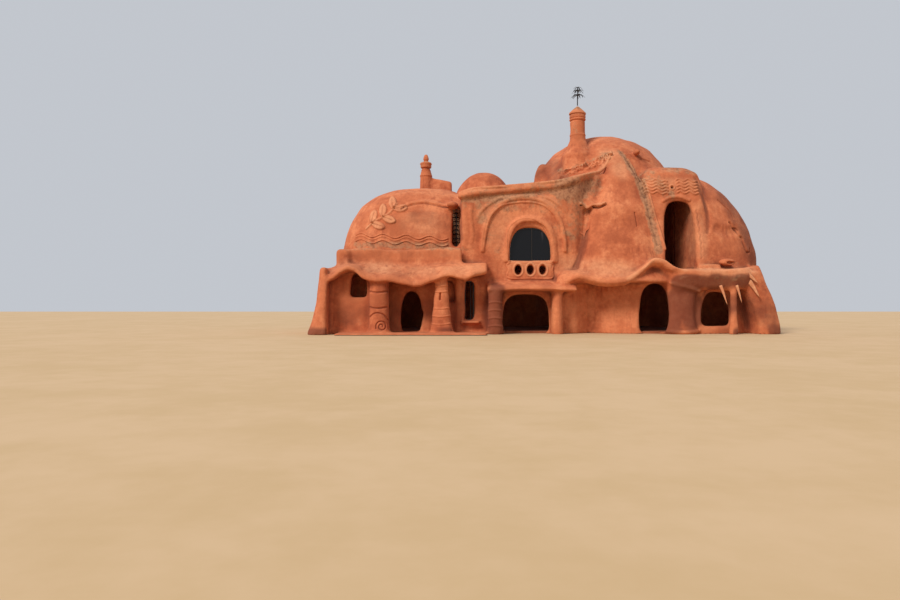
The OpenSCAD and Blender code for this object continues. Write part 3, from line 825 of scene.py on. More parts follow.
@dataclass
class Sheet:
    """One shell of the clay's skin, with what its points and faces carry."""

    shell: Shell
    normals: np.ndarray
    masks: dict[Mask, np.ndarray]
    owners: np.ndarray

    def cut(self, number: int) -> "Sheet":
        """Cuts out what one node owns, with no point under the ground.

        Args:
            number: The node's number.

        Returns:
            The sheet of that node, which may be empty.
        """
        own = self.owners == number
        faces = self.shell.faces[own]
        used, index = np.unique(faces, return_inverse=True)
        points = np.maximum(self.shell.points[used], (-np.inf, -np.inf, 0.0))
        masks = {mask: values[used] for mask, values in self.masks.items()}
        return Sheet(Shell(points, index.reshape(faces.shape)), self.normals[used], masks, self.owners[own])


@dataclass
class ClaySkin:
    """The clay's surface with its marks and stains, cut into one piece for each node.

    Attributes:
        field: The clay's distances.
        marks: The lines that are raised or pressed.
        washes: The stains.
        refine_width: Faces are split once along marks up to this width.
        fine_width: Faces are split twice along marks up to this width.
        refine_reach: How many face sizes past a mark faces are split.
        raised_groove: What a raised line adds to the cavity mask; below zero, it gives the line a painted
            highlight.
        inset: How far the rooms' surface is sunk under the outer one.
        foot: The height under which walls stand upright on the ground.
        steep: The least level part that a normal needs to be made level.
        hollow_share: How much a hollow of one step adds to the cavity mask, which paints shade into hollows.
        top_turn: Between these values of z of the normal the clay counts as a top.
        top_height: Between these heights tops weather more and more.
        top_weather: The weather mask of a high top.
        damp_height: Between these heights the dampness at the walls' foot fades.
    """

    field: ClayField
    marks: list[Mark]
    washes: list[Wash]
    refine_width: float = 0.2
    fine_width: float = 0.06
    refine_reach: float = 1.2
    raised_groove: float = -0.35
    inset: float = 0.012
    foot: float = 0.02
    steep: float = 0.05
    hollow_share: float = 0.8
    top_turn: Span = (0.35, 0.9)
    top_height: Span = (2.6, 9.0)
    top_weather: float = 0.2
    damp_height: Span = (0.0, 0.7)

    def press(self, shell: Shell) -> tuple[Shell, np.ndarray, np.ndarray]:
        """Splits the faces near marks and moves their points.

        Args:
            shell: The fine surface.

        Returns:
            The new shell, and for each point how deep it lies in a groove and how pale its mark is.
        """
        step = self.field.step
        for size in (step, step / 2):
            centres, facing = shell.centres(), shell.normals()[shell.faces[:, 0]]
            chosen = np.zeros(len(centres), bool)
            for mark in self.marks:
                if mark.width > (self.fine_width if size < step else self.refine_width):
                    continue
                near = np.flatnonzero(mark.near(centres, facing, step))
                gap = distance_to_line(centres[near][:, (0, 2)], mark.line())
                chosen[near[gap < mark.width + self.refine_reach * size]] = True
            shell = shell.refined(chosen)
        normals = shell.normals()
        groove, tint, shift = (np.zeros(len(shell.points)) for _ in range(3))
        for mark in self.marks:
            near = np.flatnonzero(mark.near(shell.points, normals, 0.0))
            part = mark.profile(shell.points[near][:, (0, 2)]) * mark.fade(shell.points[near], normals[near])
            shift[near] += mark.height * part
            groove[near] += (1.0 if mark.height < 0 else self.raised_groove) * part
            tint[near] = np.maximum(tint[near], mark.tint * part)
        return Shell(shell.points + normals * shift[:, None], shell.faces), groove, tint

    def sheet(self, shell: Shell, normals: np.ndarray, groove: np.ndarray, tint: np.ndarray) -> Sheet:
        """Gives a shell its masks and its owners.

        Args:
            shell: The clay's surface.
            normals: Which way it looks at each point.
            groove: How deep each point lies in a groove.
            tint: How pale the marks make each point.

        Returns:
            The shell as a sheet.
        """
        grid = self.field.grid
        room = self.field.indoors(grid.between(self.field.room, shell.points))
        up = smooth_step(*self.top_turn, normals[:, 2])
        height = shell.points[:, 2]
        masks = {
            # Painted shade in hollows and grooves, and a painted highlight on raised lines.
            Mask.CAVITY: self.hollow_share * grid.between(self.field.hollow, shell.points) + groove,
            Mask.WEATHER: self.top_weather * up * smooth_step(*self.top_height, height) * (1.0 - room),
            # Pale marks, partly a painted highlight.
            Mask.PALE: tint.copy(),
            # Dampness at the walls' foot; the washes add painted shade to this mask.
            Mask.DAMP: (1.0 - smooth_step(*self.damp_height, height)) * (1.0 - up) * (1.0 - room),
        }
        for wash in self.washes:
            masks[wash.mask] = np.clip(masks[wash.mask] + wash.share(shell.points), 0.0, 1.0)
        masks[Mask.CAVITY] = np.clip(masks[Mask.CAVITY], -1.0, 1.0)
        return Sheet(shell, normals, masks, grid.nearest(self.field.owner, shell.centres()))

    def pieces(self) -> dict[str, bpy.types.Object]:
        """Builds one object for each clay node that shows.

        Returns:
            The objects by the names of their nodes.
        """
        outer, inner = self.field.skin()
        outer, groove, tint = self.press(outer)
        sheets = [self.sheet(outer, self.stood_up(outer.points, outer.normals()), groove, tint)]
        for shell in inner:
            plain = np.zeros(len(shell.points))
            normals = self.stood_up(shell.points, self.field.slope(shell.points))
            sunk = Shell(shell.points - self.inset * normals, shell.faces)
            sheets.append(self.sheet(sunk, normals, plain, plain))
        made = {}
        for number, name in enumerate(self.field.names):
            parts = [part for part in (sheet.cut(number) for sheet in sheets) if len(part.owners)]
            if parts:
                masks = {mask: np.concatenate([part.masks[mask] for part in parts]) for mask in Mask}
                shells, normals = [part.shell for part in parts], [part.normals for part in parts]
                made[name] = make_object(f"{name}_clay", shells, normals, masks)
        return made

    def stood_up(self, points: np.ndarray, normals: np.ndarray) -> np.ndarray:
        """Makes normals level where a wall meets the ground.

        Args:
            points: Points of the clay, one a row.
            normals: Which way the clay faces there.

        Returns:
            The normals, of length 1.
        """
        level = normals.copy()
        level[points[:, 2] < self.foot, 2] = 0.0
        length = np.linalg.norm(level, axis=1, keepdims=True)
        return np.where(length > self.steep, level / np.maximum(length, TINY), normals)


# Finishes


class Graph:
    """Adds and joins the nodes of a shader tree."""

    def __init__(self, tree: bpy.types.NodeTree) -> None:
        """Takes the tree that nodes are added to."""
        self.tree = tree

    def add(self, kind: str, **settings: object) -> bpy.types.Node:
        """Adds a node.

        Args:
            kind: The node's type.
            settings: What is set on it.

        Returns:
            The new node.
        """
        node = self.tree.nodes.new(kind)
        for key, value in settings.items():
            setattr(node, key, value)
        return node

    def put(self, socket: Socket, value: Value) -> None:
        """Joins a value's socket to an input, or stores a constant in it.

        Args:
            socket: The input.
            value: Another node's output, or a constant.
        """
        if isinstance(value, Socket):
            self.tree.links.new(value, socket)
        else:
            socket.default_value = value

    def fill(self, node: bpy.types.Node, values: dict[str | int, Value]) -> bpy.types.Node:
        """Gives inputs of a node their values.

        Args:
            node: The node.
            values: What each input takes, by the input's name or number.

        Returns:
            The node.
        """
        for key, value in values.items():
            self.put(node.inputs[key], value)
        return node

    def place(self) -> Socket:
        """Returns the point's place on the object."""
        return self.add("ShaderNodeTexCoord").outputs["Object"]

    def mask(self, mask: Mask) -> Socket:
        """Returns a value that the mesh carries at each point."""
        return self.add("ShaderNodeAttribute", attribute_name=mask.value).outputs["Fac"]

    def noise(self, place: Value, scale: Value, detail: float = 3.0, roughness: float = 0.55) -> Socket:
        """Returns soft noise from 0 to 1."""
        values = {"Vector": place, "Scale": scale, "Detail": detail, "Roughness": roughness}
        return self.fill(self.add("ShaderNodeTexNoise"), values).outputs["Fac"]

    def stretched(self, place: Value, scale: Place) -> Socket:
        """Returns a place that is scaled along each axis."""
        node = self.add("ShaderNodeVectorMath", operation="MULTIPLY")
        return self.fill(node, {0: place, 1: scale}).outputs["Vector"]

    def maths(self, operation: str, a: Value, b: Value) -> Socket:
        """Returns what a sum of two values gives."""
        return self.fill(self.add("ShaderNodeMath", operation=operation), {0: a, 1: b}).outputs["Value"]

    def ease(self, value: Value, low: float, high: float, start: float = 0.0, end: float = 1.0) -> Socket:
        """Maps a value from one range to another, eased at both ends.

        Args:
            value: The value.
            low: Where the first range starts.
            high: Where it ends.
            start: What is given at low.
            end: What is given at high.

        Returns:
            The eased value.
        """
        node = self.add("ShaderNodeMapRange", interpolation_type="SMOOTHSTEP")
        ends = {"From Min": low, "From Max": high, "To Min": start, "To Max": end}
        return self.fill(node, {"Value": value, **ends}).outputs["Result"]

    def mix(self, share: Value, a: Value, b: Value, blend: str = "MIX") -> Socket:
        """Blends two colours.

        Args:
            share: How much of the second colour shows.
            a: The first colour.
            b: The second colour.
            blend: How they are blended.

        Returns:
            The blended colour.
        """
        node = self.add("ShaderNodeMix", data_type="RGBA", blend_type=blend)
        self.put(node.inputs["Factor"], share)
        sockets = [s for s in node.inputs if s.type == "RGBA"]
        for socket, value in zip(sockets, (a, b)):
            self.put(socket, (*value, 1.0) if isinstance(value, tuple) else value)
        return next(s for s in node.outputs if s.type == "RGBA")

    def layer(self, mask: Value, share: float, a: Value, b: Value, blend: str = "MIX") -> Socket:
        """Returns a colour with a share of a second one laid over it where the mask says."""
        return self.mix(self.maths("MULTIPLY", mask, share), a, b, blend)

    def sum_of_noise(self, place: Value, scale: Value, detail: float, layers: tuple[Span, ...]) -> Socket:
        """Adds noise of several sizes.

        Args:
            place: Where the noise is taken.
            scale: The scale that all the layers share.
            detail: The detail of each layer.
            layers: For each layer, its scale over the shared one and its share of the sum.

        Returns:
            The sum.
        """
        total: Value = 0.0
        for times, share in layers:
            grain = self.noise(place, self.maths("MULTIPLY", scale, times), detail, roughness=0.6)
            total = self.maths("ADD", total, self.maths("MULTIPLY", grain, share))
        return total

    def effect(self, kind: type["Effect"], **values: Value) -> Socket:
        """Returns the output of a shared effect."""
        return self.fill(self.add("ShaderNodeGroup", node_tree=kind().tree()), values).outputs[0]

    def bump(self, distance: float, height: Socket) -> Socket:
        """Returns the normal of a surface with bumps."""
        node = self.add("ShaderNodeBump")
        return self.fill(node, {"Distance": distance, "Height": height}).outputs["Normal"]


class Effect:
    """A node group that finishes share, with one output."""

    name = "Effect"
    output = "Value"
    inputs: dict[str, float] = {}

    def tree(self) -> bpy.types.NodeTree:
        """Builds the group on its first use.

        Returns:
            The group.
        """
        known = bpy.data.node_groups.get(self.name)
        if known:
            return known
        tree = bpy.data.node_groups.new(self.name, "ShaderNodeTree")
        tree.interface.new_socket("Vector", in_out="INPUT", socket_type="NodeSocketVector")
        for key, value in self.inputs.items():
            socket = tree.interface.new_socket(key, in_out="INPUT", socket_type="NodeSocketFloat")
            socket.default_value = value
        tree.interface.new_socket(self.output, in_out="OUTPUT", socket_type="NodeSocketFloat")
        graph = Graph(tree)
        entry, end = graph.add("NodeGroupInput"), graph.add("NodeGroupOutput")
        given = {socket.name: socket for socket in entry.outputs if socket.name}
        graph.put(end.inputs[0], self.lay_out(graph, given))
        return tree

    def lay_out(self, graph: Graph, given: dict[str, Socket]) -> Socket:
        """Adds the group's nodes, in each kind of effect its own.

        Args:
            graph: The group's graph.
            given: The group's inputs.

        Returns:
            The socket that the group gives out.
        """
        raise NotImplementedError


class Mottle(Effect):
    """Uneven tone, from large patches to hand-sized ones."""

    name = "Mottle"
    inputs = {"Scale": 0.4}
    layers = ((1.0, 0.5), (4.0, 0.3), (15.0, 0.2))

    def lay_out(self, graph: Graph, given: dict[str, Socket]) -> Socket:
        """Returns three sizes of noise together, from 0 to 1."""
        return graph.ease(graph.sum_of_noise(given["Vector"], given["Scale"], 4.0, self.layers), 0.36, 0.64)


class Grain(Effect):
    """The height of finger marks, lumps and grit."""

    name = "Grain"
    output = "Height"
    inputs = {"Scale": 1.0}
    layers = ((1.7, 0.45), (4.5, 0.3), (13.0, 0.16), (45.0, 0.09))

    def lay_out(self, graph: Graph, given: dict[str, Socket]) -> Socket:
        """Returns noise of four sizes, the largest the highest."""
        return graph.sum_of_noise(given["Vector"], given["Scale"], 3.0, self.layers)


class Streaks(Effect):
    """Marks of rain that ran down."""

    name = "Streaks"
    inputs = {"Scale": 1.0}
    stretch = (4.2, 4.2, 0.32)

    def lay_out(self, graph: Graph, given: dict[str, Socket]) -> Socket:
        """Stretches noise downwards and breaks it up.

        Args:
            graph: The group's graph.
            given: The group's inputs.

        Returns:
            The streaks, from 0 to 1.
        """
        place = graph.stretched(given["Vector"], self.stretch)
        run = graph.noise(place, given["Scale"], detail=4.0, roughness=0.6)
        gaps = graph.noise(given["Vector"], 0.55, detail=2.0)
        return graph.maths("MULTIPLY", graph.ease(run, 0.52, 0.7), graph.ease(gaps, 0.42, 0.62))


class Patches(Effect):
    """Ragged spots that join as the amount grows."""

    name = "Patches"
    output = "Mask"
    inputs = {"Scale": 2.0, "Amount": 0.5, "Reach": 1.5}

    def lay_out(self, graph: Graph, given: dict[str, Socket]) -> Socket:
        """Cuts noise off at a height set by the amount.

        Args:
            graph: The group's graph.
            given: The group's inputs.

        Returns:
            The patches, from 0 to 1.
        """
        grain = graph.noise(given["Vector"], given["Scale"], detail=6.0, roughness=0.68)
        lift = graph.maths("MULTIPLY", graph.maths("SUBTRACT", grain, 0.5), given["Reach"])
        cut = graph.ease(graph.maths("ADD", given["Amount"], lift), 0.26, 0.8)
        return graph.maths("MULTIPLY", cut, graph.ease(given["Amount"], 0.0, 0.12))


@dataclass(frozen=True)
class Finish:
    """A material of one slot."""

    slot: Slot

    def build(self) -> bpy.types.Material:
        """Makes the material.

        Returns:
            The material, with the finish's inputs on its shader.
        """
        material = bpy.data.materials.new(self.slot.value)
        material.use_nodes = True
        graph = Graph(material.node_tree)
        graph.fill(material.node_tree.nodes["Principled BSDF"], self.inputs(graph, graph.place()))
        return material

    def inputs(self, graph: Graph, place: Socket) -> dict[str, Value]:
        """Works out what the shader's inputs take, in each kind of finish its own.

        Args:
            graph: The material's graph.
            place: The point's place on the object.

        Returns:
            A value for each input by its name.
        """
        raise NotImplementedError


@dataclass(frozen=True)
class ClayFinish(Finish):
    """Baked clay that hands smoothed and weather stained, with painted shade and painted highlights."""

    dark: Colour = (0.30, 0.062, 0.022)
    middle: Colour = (0.50, 0.128, 0.046)
    light: Colour = (0.66, 0.212, 0.084)
    chalky: Colour = (0.70, 0.34, 0.17)
    lichen: Colour = (0.105, 0.058, 0.03)
    dust: Colour = (0.42, 0.225, 0.115)
    # The dark of painted shade in hollows, under the eaves and in the porch, and of dampness.
    deep: Colour = (0.15, 0.032, 0.013)
    mottle_scale: float = 0.32
    rain: float = 0.4
    # How far painted shade and dampness darken the clay.
    shade_and_damp_strength: float = 0.8
    crust: float = 0.66
    roughest: float = 0.97
    smoothest: float = 0.84
    bump: float = 0.06

    def fired(self, graph: Graph, place: Socket, tone: Socket) -> Socket:
        """Lays out the clay's own colours, and its pale marks, which are partly a painted highlight.

        Args:
            graph: The material's graph.
            place: The point's place on the object.
            tone: The clay's uneven tone.

        Returns:
            The colour of dry and clean clay, with its pale marks.
        """
        colour = graph.mix(graph.ease(tone, 0.0, 0.5, 0.35, 1.0), self.dark, self.middle)
        colour = graph.mix(graph.ease(tone, 0.42, 1.0), colour, self.light)
        wear = graph.noise(place, 1.6, detail=5.0, roughness=0.65)
        worn = graph.ease(wear, 0.3, 0.62, 0.35, 0.8)
        # Pale marks and washes: paler clay and wear, partly a painted highlight on lit edges, ridges and
        # tops.
        colour = graph.mix(graph.maths("MULTIPLY", graph.mask(Mask.PALE), worn), colour, self.chalky)
        grit = graph.noise(place, 6.0, detail=5.0, roughness=0.7)
        speckle = graph.ease(grit, 0.38, 0.68, 0.0, 0.34)
        return graph.mix(speckle, colour, self.dark)

    def stained(self, graph: Graph, place: Socket, colour: Socket) -> Socket:
        """Lays rain streaks, painted shade in hollows, a painted highlight on raised lines, painted shade
        with dampness, and crust over the clay.

        Args:
            graph: The material's graph.
            place: The point's place on the object.
            colour: The colour of clean clay.

        Returns:
            The stained colour.
        """
        colour = graph.layer(graph.effect(Streaks, Vector=place), self.rain, colour, self.dark, "MULTIPLY")
        cavity = graph.mask(Mask.CAVITY)
        # Painted shade in hollows and grooves.
        colour = graph.mix(graph.ease(cavity, 0.06, 0.9, 0.0, 0.75), colour, self.deep)
        # Painted highlight on raised lines and bulges.
        colour = graph.mix(graph.ease(cavity, -0.1, -0.8, 0.0, 0.35), colour, self.light)
        # Painted shade under the eaves, in the porch and on sides turned from the light, with dampness at the
        # walls' foot.
        damp = graph.effect(Patches, Vector=place, Scale=1.2, Amount=graph.mask(Mask.DAMP), Reach=0.9)
        colour = graph.layer(damp, self.shade_and_damp_strength, colour, self.deep)
        weather = graph.effect(Patches, Vector=place, Scale=3.0, Amount=graph.mask(Mask.WEATHER), Reach=1.7)
        growth = graph.noise(place, 5.0, detail=5.0, roughness=0.7)
        crust = graph.mix(graph.ease(growth, 0.32, 0.6), self.lichen, self.dust)
        return graph.layer(weather, self.crust, colour, crust)

    def inputs(self, graph: Graph, place: Socket) -> dict[str, Value]:
        """Works out the clay's colour, roughness and bumps.

        Args:
            graph: The material's graph.
            place: The point's place on the object.

        Returns:
            A value for each input by its name.
        """
        tone = graph.effect(Mottle, Vector=place, Scale=self.mottle_scale)
        return {
            "Base Color": self.stained(graph, place, self.fired(graph, place, tone)),
            "Roughness": graph.ease(tone, 0.0, 1.0, self.roughest, self.smoothest),
            "Normal": graph.bump(self.bump, graph.effect(Grain, Vector=place)),
        }


@dataclass(frozen=True)
class IronFinish(Finish):
    """Wrought iron, blackened and rusting."""

    slot: Slot = Slot.IRON
    black: Colour = (0.018, 0.015, 0.014)
    rust: Colour = (0.07, 0.03, 0.015)
    amount: float = 0.2
    bump: float = 0.01

    def inputs(self, graph: Graph, place: Socket) -> dict[str, Value]:
        """Works out the iron's colour, shine and bumps.

        Args:
            graph: The material's graph.
            place: The point's place on the object.

        Returns:
            A value for each input by its name.
        """
        rust = graph.effect(Patches, Vector=place, Scale=9.0, Amount=self.amount)
        return {
            "Base Color": graph.mix(rust, self.black, self.rust),
            "Metallic": graph.ease(rust, 0.0, 1.0, 0.4, 0.0),
            "Roughness": graph.ease(rust, 0.0, 1.0, 0.5, 0.9),
            "Normal": graph.bump(self.bump, graph.effect(Grain, Vector=place, Scale=4.0)),
        }


@dataclass(frozen=True)
class GlassFinish(Finish):
    """Window glass painted near black for the shade of the room behind, with lighter streaks that are partly
    dust where rain ran down and partly a painted reflection.
    """

    slot: Slot = Slot.GLASS
    # Near black: painted shade of the dark room behind the glass.
    dark: Colour = (0.005, 0.005, 0.006)
    # The streaks' colour: dust, and a painted reflection.
    dust: Colour = (0.085, 0.085, 0.09)
    shine: float = 0.3

    def inputs(self, graph: Graph, place: Socket) -> dict[str, Value]:
        """Works out the glass's colour and shine.

        Args:
            graph: The material's graph.
            place: The point's place on the object.

        Returns:
            A value for each input by its name.
        """
        # Lighter streaks: dust where rain ran down, and a painted reflection.
        dust = graph.effect(Streaks, Vector=place, Scale=1.6)
        return {
            "Base Color": graph.mix(dust, self.dark, self.dust),
            "Roughness": graph.ease(dust, 0.0, 1.0, 0.08, 0.3),
            "Specular IOR Level": self.shine,
        }


# Sub-assemblies


def show(
    made: bpy.types.Object, material: bpy.types.Material, nodes: tuple[str, ...] = ()
) -> None:
    """Args:
        made: The piece.
        material: Its material.
        nodes: The nodes of the frame that the piece stands for.
    """
    made.data.materials.clear()
    made.data.materials.append(material)
    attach(made, BODY)
    if nodes:
        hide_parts(*nodes)


def node_box(name: str) -> tuple[np.ndarray, np.ndarray]:
    """Measures a node of the frame.

    Args:
        name: The node's name.

    Returns:
        The low and the high corner of its box.
    """
    made = frame["nodes"][name]
    corners = np.array([made.matrix_world @ Vector(c) for c in made.bound_box])
    return corners.min(0), corners.max(0)


def washed(mask: Mask, *rows: tuple[Line, float, float, Span]) -> list[Wash]:
    """Returns a wash for each row of a line, its width, its strength and its depths."""
    return [Wash(mask, *row) for row in rows]


class ClayPart:
    """A part of the clay house, which adds marks, rolls, stains and painted shade to the clay that all parts
    share.
    """

    def marks(self) -> list[Mark]:
        """Returns the lines raised from the clay or pressed into it."""
        return []

    def additions(self) -> list[Blob | Strand]:
        """Returns the lumps and rolls of clay that are laid on, and the pits."""
        return []

    def washes(self) -> list[Wash]:
        """Returns the stains, the pale places and the painted shade."""
        return []


@dataclass
class LeftWing(ClayPart):
    """The left dome and its wall, with a sprig, wavy bands and a seam."""

    front: Span = (-4.6, -1.5)
    stem: Line = ((-9.5, 5.62), (-9.1, 5.98), (-8.65, 6.2), (-8.2, 6.5), (-7.85, 6.98))
    leaf_pairs: tuple[tuple[Span, float, float], ...] = (
        ((-9.2, 5.9), 0.5, 0.85), ((-8.62, 6.22), 0.6, 0.95), ((-8.05, 6.66), 0.9, 0.8),
    )
    leaf_shape: Line = ((0.06, 0.0), (0.35, 0.2), (0.75, 0.2), (1.0, 0.0), (0.75, -0.2), (0.35, -0.2))
    vein: tuple[float, ...] = (0.1, 0.45, 0.8)
    leaf_length: float = 0.74
    band: Line = ((-10.1, 5.1), (-8.0, 4.95), (-5.1, 4.82))
    seam: Line = ((-7.6, 6.7), (-7.1, 7.0), (-6.3, 7.1), (-5.4, 6.92), (-4.65, 6.78))

    def sprig(self) -> list[Mark]:
        """Lays out the raised sprig: a bent stem with pairs of leaves.

        Returns:
            The stem, and a leaf and a vein for each side of each pair.
        """
        marks = [Mark(self.stem, 0.09, 0.07, self.front, tint=0.8)]
        for foot, lean, turn in self.leaf_pairs:
            for side in (1, -1):
                angle = lean + side * turn
                along = self.leaf_length * np.array([math.cos(angle), math.sin(angle)])
                across = np.array([-along[1], along[0]])
                leaf = tuple(tuple(foot + u * along + v * across) for u, v in self.leaf_shape)
                vein = tuple(tuple(foot + u * along) for u in self.vein)
                marks.append(Mark(leaf, 0.07, 0.09, self.front, closed=True, filled=True, tint=0.85))
                marks.append(Mark(vein, 0.045, -0.035, self.front))
        return marks

    def marks(self) -> list[Mark]:
        """Adds the wavy bands and the seam to the sprig.

        Returns:
            All the lines of the wing.
        """
        marks = self.sprig()
        for lift, height in ((0.22, 0.045), (0.08, 0.03), (-0.12, 0.045)):
            line = lifted(self.band, lift)
            marks.append(Mark(line, 0.055, height, self.front, wave=0.1, period=1.25))
        shade = ((-7.6, 6.6), (-7.1, 6.88), (-6.3, 6.98), (-5.4, 6.8), (-4.65, 6.66))
        return [*marks, Mark(self.seam, 0.14, 0.07, self.front), Mark(shade, 0.07, -0.03, self.front)]

    def washes(self) -> list[Wash]:
        """Lays out the stains, pale places and painted shade of the left wing.

        Returns:
            Crust under the bands, and a pale place and painted shade by the slit window.
        """
        deep = (-5.0, -1.5)
        return [
            *washed(Mask.WEATHER, (((-10.1, 4.75), (-8.0, 4.7), (-5.1, 4.6)), 0.35, 0.62, deep)),
            *washed(Mask.PALE, (((-7.0, 6.0), (-6.0, 5.8)), 1.0, 0.35, (-5.0, -3.0))),
            # Painted shade on the dome's right side and beside the slit window.
            *washed(
                Mask.DAMP,
                (((-6.8, 6.2), (-5.2, 6.0)), 1.0, 0.42, deep),
                (((-4.7, 7.4), (-4.4, 5.0)), 0.35, 0.5, (-5.0, -3.0)),
            ),
        ]


@dataclass
class Porch(ClayPart):
    """The porch and the entrance pier, with grooved pillars."""

    front: Span = (-6.3, -4.95)
    swirl_middle: Span = (-8.42, 0.42)
    swirl_start: float = 0.06
    swirl_growth: float = 0.025
    swirl_points: int = 15

    def marks(self) -> list[Mark]:
        """Lays out the grooves, the swirl and the ridges of the pillars.

        Returns:
            All the lines of the porch.
        """
        front = self.front
        x, z = self.swirl_middle
        turns = [0.7 * k for k in range(self.swirl_points)]
        reach = [self.swirl_start + self.swirl_growth * a for a in turns]
        swirl = tuple((x + r * math.cos(a), z + r * math.sin(a)) for r, a in zip(reach, turns))
        grooves = [
            Mark(((-9.3, z), (-8.6, z - 0.1), (-7.95, z + 0.02)), 0.07, -0.06, front)
            for z in (2.22, 1.42)
        ]
        ridges = [
            Mark(((-5.95, z), (-5.45, z - 0.04), (-4.95, z + 0.02)), 0.06, 0.025, front)
            for z in (0.55, 0.95, 1.35, 2.2, 2.5)
        ]
        pier = [
            Mark(((-3.0, z), (-2.7, z + 0.05), (-2.3, z)), 0.07, 0.035, (-5.6, -4.0))
            for z in (0.4, 0.8, 1.2, 1.6)
        ]
        return [
            *grooves,
            Mark(((-9.1, 0.85), (-8.75, 1.08), (-8.35, 1.02), (-8.1, 0.75)), 0.06, -0.05, front),
            Mark(swirl, 0.05, -0.05, front),
            *ridges,
            Mark(((-5.46, 2.08), (-5.48, 1.78)), 0.07, -0.12, front),
            *pier,
            Mark(((-4.2, 2.9), (-4.3, 2.0), (-4.25, 1.2), (-4.35, 0.5)), 0.1, 0.06, (-5.6, -3.6)),
        ]

    def additions(self) -> list[Blob | Strand]:
        """Returns two pits at the left end of the parapet."""
        return [Blob((x, -4.6, 4.42), (0.1, 0.1, 0.12), hollow=True) for x in (-10.6, -10.25)]

    def washes(self) -> list[Wash]:
        """Lays out the stains, pale places and painted shade of the porch.

        Returns:
            Crust along the parapet, a pale roof, and painted shade along the parapet, low on the entrance
            pier and on the porch's walls.
        """
        roof = (-6.5, -4.4)
        return [
            *washed(Mask.WEATHER, (((-11.0, 4.45), (-8.0, 4.45), (-4.0, 4.45)), 0.26, 0.45, (-5.2, -3.8))),
            *washed(
                Mask.PALE,
                (((-11.0, 3.5), (-9.6, 3.4), (-8.4, 3.5)), 0.7, 0.3, roof),
                (((-9.0, 3.4), (-6.0, 3.2), (-3.6, 3.3)), 0.5, 0.45, roof),
            ),
            # Painted shade along the parapet, low on the entrance pier and on the porch's walls.
            *washed(
                Mask.DAMP,
                (((-11.0, 4.15), (-4.4, 4.15)), 0.5, 0.4, (-5.4, -4.0)),
                (((-2.65, 0.2), (-2.6, 2.2)), 0.8, 0.9, (-6.5, -3.8)),
                (((-10.0, 1.0), (-6.0, 1.2), (-4.0, 1.2)), 1.6, 0.5, (-4.9, -2.0)),
            ),
        ]


@dataclass
class DrapedCone(ClayPart):
    """The draped cone, with a ledge, a dark band and a valley behind the roof's lip."""

    ledge: tuple[Place, ...] = (
        (1.92, -3.82, 6.86), (2.06, -3.74, 6.76), (2.22, -3.64, 6.62), (2.38, -3.74, 6.68),
        (2.56, -3.9, 6.78), (2.84, -4.02, 6.74), (3.14, -4.08, 6.86),
    )
    ledge_radius: float = 0.065
    shade_drop: float = 0.13
    valley: tuple[Place, ...] = ((2.75, -2.95, 8.2), (2.6, -3.1, 7.6), (2.42, -3.32, 7.0))

    def marks(self) -> list[Mark]:
        """Lays out the creases, the ridge, the band and the shade under the ledge.

        Returns:
            All the lines of the cone.
        """
        shade = lifted(tuple((x, z) for x, _, z in self.ledge), -self.shade_drop)
        crease = ((2.27, 6.3), (2.22, 5.6), (2.14, 4.9), (1.9, 4.1), (1.6, 3.5))
        ridge = ((4.94, 9.57), (5.36, 8.2), (5.67, 6.6), (6.0, 5.2), (6.2, 4.4))
        band = ((4.55, 9.9), (5.0, 8.6), (5.3, 7.2), (5.55, 5.9), (5.8, 4.6))
        return [
            Mark(crease, 0.2, -0.05, (-5.4, -2.4)),
            Mark(ridge, 0.08, 0.06, (-5.0, -0.8), tint=0.5),
            Mark(band, 0.12, -0.05, (-5.2, -0.8)),
            Mark(shade, 0.07, -0.07, (-5.0, -2.6)),
            Mark(((4.66, 6.3), (4.72, 5.95), (4.75, 5.6)), 0.06, -0.05, (-5.4, -3.0)),
        ]

    def additions(self) -> list[Blob | Strand]:
        """Returns the pit under the ledge, the valley and the ledge."""
        pit = Blob((2.16, -3.62, 6.42), (0.12, 0.22, 0.17), hollow=True)
        return [pit, Strand(self.valley, 0.33, 0.3), Strand(self.ledge, self.ledge_radius)]

    def washes(self) -> list[Wash]:
        """Lays out the stains of the cone.

        Returns:
            Crust down the band, and pale clay, partly a painted highlight, on the ledge, the peak and the
            foot.
        """
        band = ((4.55, 9.9), (5.05, 8.6), (5.3, 7.2), (5.55, 5.9), (5.85, 4.3))
        return [
            *washed(Mask.WEATHER, (band, 0.36, 1.0, (-5.2, -0.8))),
            *washed(
                Mask.PALE,
                (((1.95, 6.85), (2.3, 6.66), (3.1, 6.84)), 0.14, 0.7, (-5.0, -3.0)),
                (((3.8, 9.9), (4.1, 9.7), (4.2, 8.6)), 0.7, 0.6, (-5.0, 0.0)),
                (((0.9, 3.6), (2.6, 3.4), (4.2, 3.2)), 0.7, 0.55, (-6.5, -3.5)),
            ),
        ]


